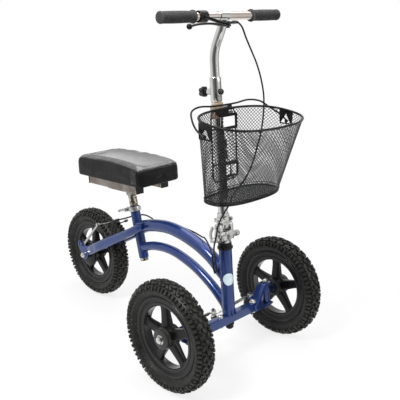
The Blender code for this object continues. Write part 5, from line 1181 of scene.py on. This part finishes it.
def inflated(obj, cap):
    """Swells a closed cover under pressure with cloth and applies the result."""
    start = [v.co.copy() for v in obj.data.vertices]
    cloth = obj.modifiers.new("cloth", "CLOTH")
    settings = cloth.settings
    settings.use_pressure = True
    settings.uniform_pressure_force = 4.0
    settings.effector_weights.gravity = 0.0
    settings.tension_stiffness = 40
    settings.compression_stiffness = 40
    settings.bending_stiffness = 1.5
    cloth.point_cache.frame_start = 1
    cloth.point_cache.frame_end = 20
    scene = bpy.context.scene
    for number in range(1, 21):
        scene.frame_set(number)
    graph = bpy.context.evaluated_depsgraph_get()
    shaped = obj.evaluated_get(graph).to_mesh()
    moved = [v.co.copy() for v in shaped.vertices]
    obj.modifiers.clear()
    scene.frame_set(1)
    for vert, before, after in zip(obj.data.vertices, start, moved):
        shift = after - before
        low = max(0.0, min(1.0, (before.z - 0.004) / 0.02))
        if shift.length > cap:
            shift = shift.normalized() * cap
        vert.co = before + shift * low


def settled(obj, kind, **settings):
    """Applies one modifier to an object."""
    modifier = obj.modifiers.new("change", kind)
    for key, value in settings.items():
        setattr(modifier, key, value)
    obj.data = bpy.data.meshes.new_from_object(obj.evaluated_get(bpy.context.evaluated_depsgraph_get()))
    obj.modifiers.clear()


def creased(data):
    """Fine creases on the cushion's top and side, strongest near the edge."""
    for vert in data.vertices:
        p = vert.co
        edge = max(abs(p.x) / PAD_LENGTH, abs(p.y) / PAD_WIDTH)
        near = max(0.0, min(1.0, (edge - 0.55) / 0.4))
        crease = noise.noise(Vector((p.x * 34, p.y * 34, p.z * 60))) * 0.0007 * near
        crease += noise.noise(p * 11) * 0.0009
        vert.co = p + Vector((0, 0, crease)) if p.z > 0.03 else p
        vert.co.z = max(vert.co.z, PAD_FOOT)


def covered(data):
    """Gives the cushion's faces the top's, the side band's or the front's finish; the front's darker colour
    is painted shade.
    """
    data.materials.clear()
    for finish in ("pad", "pad_side", "pad_front_painted_shade"):
        data.materials.append(FINISHES[finish])
    for face in data.polygons:
        face.use_smooth = True
        x, y, z = face.center
        if face.normal.z < 0.62 and z < pad_crest(x) - 0.009:
            face.material_index = 1 if abs(y) > 0.05 and x < BAND_END else 2


def eyelets(bvh):
    """Rows of pressed dots on both sides, ahead of the woven band."""
    outline = mm((0, -0.4), (0.8, -0.4), (0.6, 0.35), (0, 0.35))
    dots = []
    columns, rows = 7, 16
    for turn in (1, -1):
        for i in range(columns):
            for j in range(rows):
                aim = Vector((0.126 + 0.0034 * i, 0.1 * turn, 0.0125 + 0.0031 * j + 0.0015 * (i % 2)))
                hit, normal = bvh.ray_cast(aim, Vector((0, -turn, 0)))[:2]
                facing = normal.to_track_quat("Z", "Y").to_matrix().to_4x4()
                dots.append((turned(outline, 6), Matrix.Translation(hit) @ facing))
    return merged(*dots)


def welting(bvh):
    """Welt round the top's edge, and the two seams on each side."""
    outline = pad_outline(PAD_LENGTH, PAD_WIDTH, PAD_CORNER, 0.004)
    aims = [(x * 1.01, y * 1.01, pad_crest(x) - 0.0075) for x, y in outline]
    around = [bvh.find_nearest(Vector(aim))[0] for aim in aims]
    welts = [swept(around, 0.0012, 8, side=(0, 0, 1), closed=True)]
    for turn in (1, -1):
        for x in (-0.076, BAND_END):
            aims = [(x, 0.092 * turn, 0.013 + 0.05 * k / 12) for k in range(13)]
            welts.append(swept([bvh.find_nearest(Vector(aim))[0] for aim in aims], 0.0008, 8))
    return merged(*welts)


def make_cushion():
    """Leatherette cushion with its welt, side seams and eyelets."""
    pad = as_object("knee_cushion", cushion_bm())
    settled(pad, "REMESH", mode="VOXEL", voxel_size=0.005)
    inflated(pad, 0.0035)
    creased(pad.data)
    settled(pad, "SUBSURF", levels=1, render_levels=1)
    covered(pad.data)
    bvh = BVHTree.FromObject(pad, bpy.context.evaluated_depsgraph_get())
    put("cushion_eyelets", eyelets(bvh), "eyelet", "seat", place=PAD)
    put("cushion_welts", welting(bvh), "thread", "seat", place=PAD)
    pad.data.transform(PAD)
    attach(pad, "seat")
    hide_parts("seat_cushion")


def make_seat():
    """Post with its plug, board, and rails with end caps."""
    foot, top = -0.1845, 0.0642
    post = pipe(0, 0.0138, foot + 0.001, top, 0.0008, 64)
    put("seat_post_finished", post, "post", "seat", ["seat_post"], SEAT)
    plug = [(0, foot), (0.0128, foot), (0.0137, foot + 0.0015), (0.0137, foot + 0.0055), (0, foot + 0.0055)]
    put("seat_post_plug", turned(softened(plug, 0.0006)), "moulded", "seat", place=SEAT)
    board = plate([pad_outline(0.156, 0.072, 0.016, 0.02)], 0.0003, 0.0085, "Z", 0.0008)
    put("seat_board_finished", board, "board", "seat", ["seat_board"], PAD)
    refined("seat_frame", "rail", 0.0012)
    caps = [block((near, y - 0.0143, -0.0258), (far, y + 0.0143, -0.0002), 0.0012)
            for y in (0.0512, -0.0512) for near, far in ((0.1218, 0.1264), (-0.1264, -0.1218))]
    put("rail_end_caps", merged(*caps), "moulded", "seat", place=PAD)


# Cable

UPPER = mm((3, 21.5, 969), (0, 42, 956), (-4, 63, 928), (-15, 100, 890), (-26, 134, 856), (-34, 164, 812),
           (-40, 186, 760), (-42, 190, 707), (-43, 183, 656), (-45, 169, 610), (-44, 144, 556),
           (-40, 113, 526), (-35, 81, 507))
MIDDLE = mm((-35, 81, 507), (-18, 35, 492), (2, 2, 481), (8, -24, 465), (10, -45, 444), (9, -53, 426))
NECK = mm((9, -53, 426), (6, -56, 398), (-6, -51, 368), (-17, -40, 342), (-17, -33, 312), (-18, -30, 286),
          (-24, -28.5, 272), (-32, -26.5, 286), (-40, -23.5, 318), (-62, -14, 342), (-90, -4, 356))
ALONG = mm((-90, -4, 356), (-114, 9, 350), (-157, 18, 351), (-206, 20, 353), (-254, 20.5, 353.5),
           (-299, 20.5, 350), (-340, 24, 340), (-375, 29, 344), (-405, 29, 345), (-429, 16, 342),
           (-439, -6, 338), (-442, -26, 336.5), (-448.8, -37.4, 335), (-456, -39, 332))


CABLE_RADIUS = 0.0024
# Stretches of the cable: node and the bodies at its ends; a stretch with bodies rides on no body, one without
# rides on the frame
STRETCHES = (("cable_upper", ("column", "stem")), ("cable_middle", ("column", "steering")),
             ("cable_neck", ("frame", "steering")), ("cable_frame", None))


def make_cables():
    """Brake cable in its stretches, and its bare wire; the stretches across the walker's joints stay where
    they are made.
    """
    whole = smooth_path([WALKER @ Vector(p) for p in UPPER + MIDDLE[1:] + NECK[1:] + ALONG[1:]], 330)
    marks = [0, len(whole) - 1]
    for cut in (MIDDLE[0], NECK[0], ALONG[0]):
        marks.insert(-1, min(range(len(whole)), key=lambda i: (whole[i] - WALKER @ Vector(cut)).length))
    for (node, bodies), first, last in zip(STRETCHES, marks, marks[1:]):
        points = whole[first:last + 1]
        sleeve = swept(points, CABLE_RADIUS, 14)
        obj = put(node + "_sleeve", sleeve, "cable", None if bodies else "frame", [node])
        if bodies:
            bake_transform(obj)
    pull, tip = (WALKER @ Vector(p) for p in mm((-496, -44, 314.5), (-557.8, -47.5, 292.2)))
    core = swept([pull.lerp(tip, k / 12) for k in range(13)], 0.0009, 10)
    bare = put("brake_wire", core, "steel", None, ["cable_wire"])
    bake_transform(bare)


# Small parts

# Parts that keep the model's shape: finish, edge radius in millimetres and nodes
REFINED = (
    ("steel", 0.6, ("kingpin_left", "kingpin_right", "tie_rod_left", "tie_rod_right", "fold_pin",
                    "brake_arm")),
    ("steel", 0.8, ("axle_nut_left", "axle_nut_right", "seat_clamp", "seat_clamp_lever")),
    ("steel", 1.0, ("fold_lever",)),
    ("blue", 1.0, ("knuckle_left", "knuckle_right")),
    ("black_metal", 0.6, ("pitman_arm", "steerer_nut", "brake_plate", "cable_stop")),
    ("black_metal", 0.5, ("steerer",)),
    ("black_metal", 0.4, ("lower_bush",)),
    ("black_metal", 0.3, ("basket_hanger",)),
    ("cast", 1.2, ("fold_base", "fold_head")),
    ("moulded", 0.8, ("guide_bolt", "basket_bracket")),
    ("moulded", 1.2, ("height_knob",)),
    ("chrome", 0.5, ("rear_axle",)),
)


def make_badge():
    """Bare round disc on the head tube, bent to its surface."""
    radius, tube, edge, steps = 0.0182, 0.0194, 0.0004, 40
    bm = bmesh.new()
    rings = []
    for share in (0.0, 0.35, 0.7, 0.94, 1.0):
        ring = []
        out = tube - (edge if share == 1 else 0)
        for a in (math.tau * k / steps for k in range(steps if share else 1)):
            bend, height = radius * share * math.cos(a) / tube, radius * share * math.sin(a)
            ring.append(bm.verts.new((out * math.cos(bend), out * math.sin(bend), height)))
        rings.append(ring)
    skin(bm, rings)
    place = LEAN @ Matrix.Rotation(math.radians(-28), 4, "Z") @ at(0, 0, 0.098)
    put("head_badge", bm, "badge", "frame", place=place)


make_camera()
make_world()
make_floor()
make_lights()
make_finishes()
make_wheels()
make_frame()
make_stays()
make_cable_holder()
make_beam()
make_headset()
make_column()
make_stem()
make_grips()
make_perch()
make_lever()
make_mesh_wall()
make_mesh_floor()
make_basket()
make_bracket()
make_bail()
make_seat()
make_cushion()
make_cables()
for finish, width, nodes in REFINED:
    for node in nodes:
        refined(node, finish, width / 1000)
make_badge()

bpy.context.scene.view_settings.view_transform = "Standard"
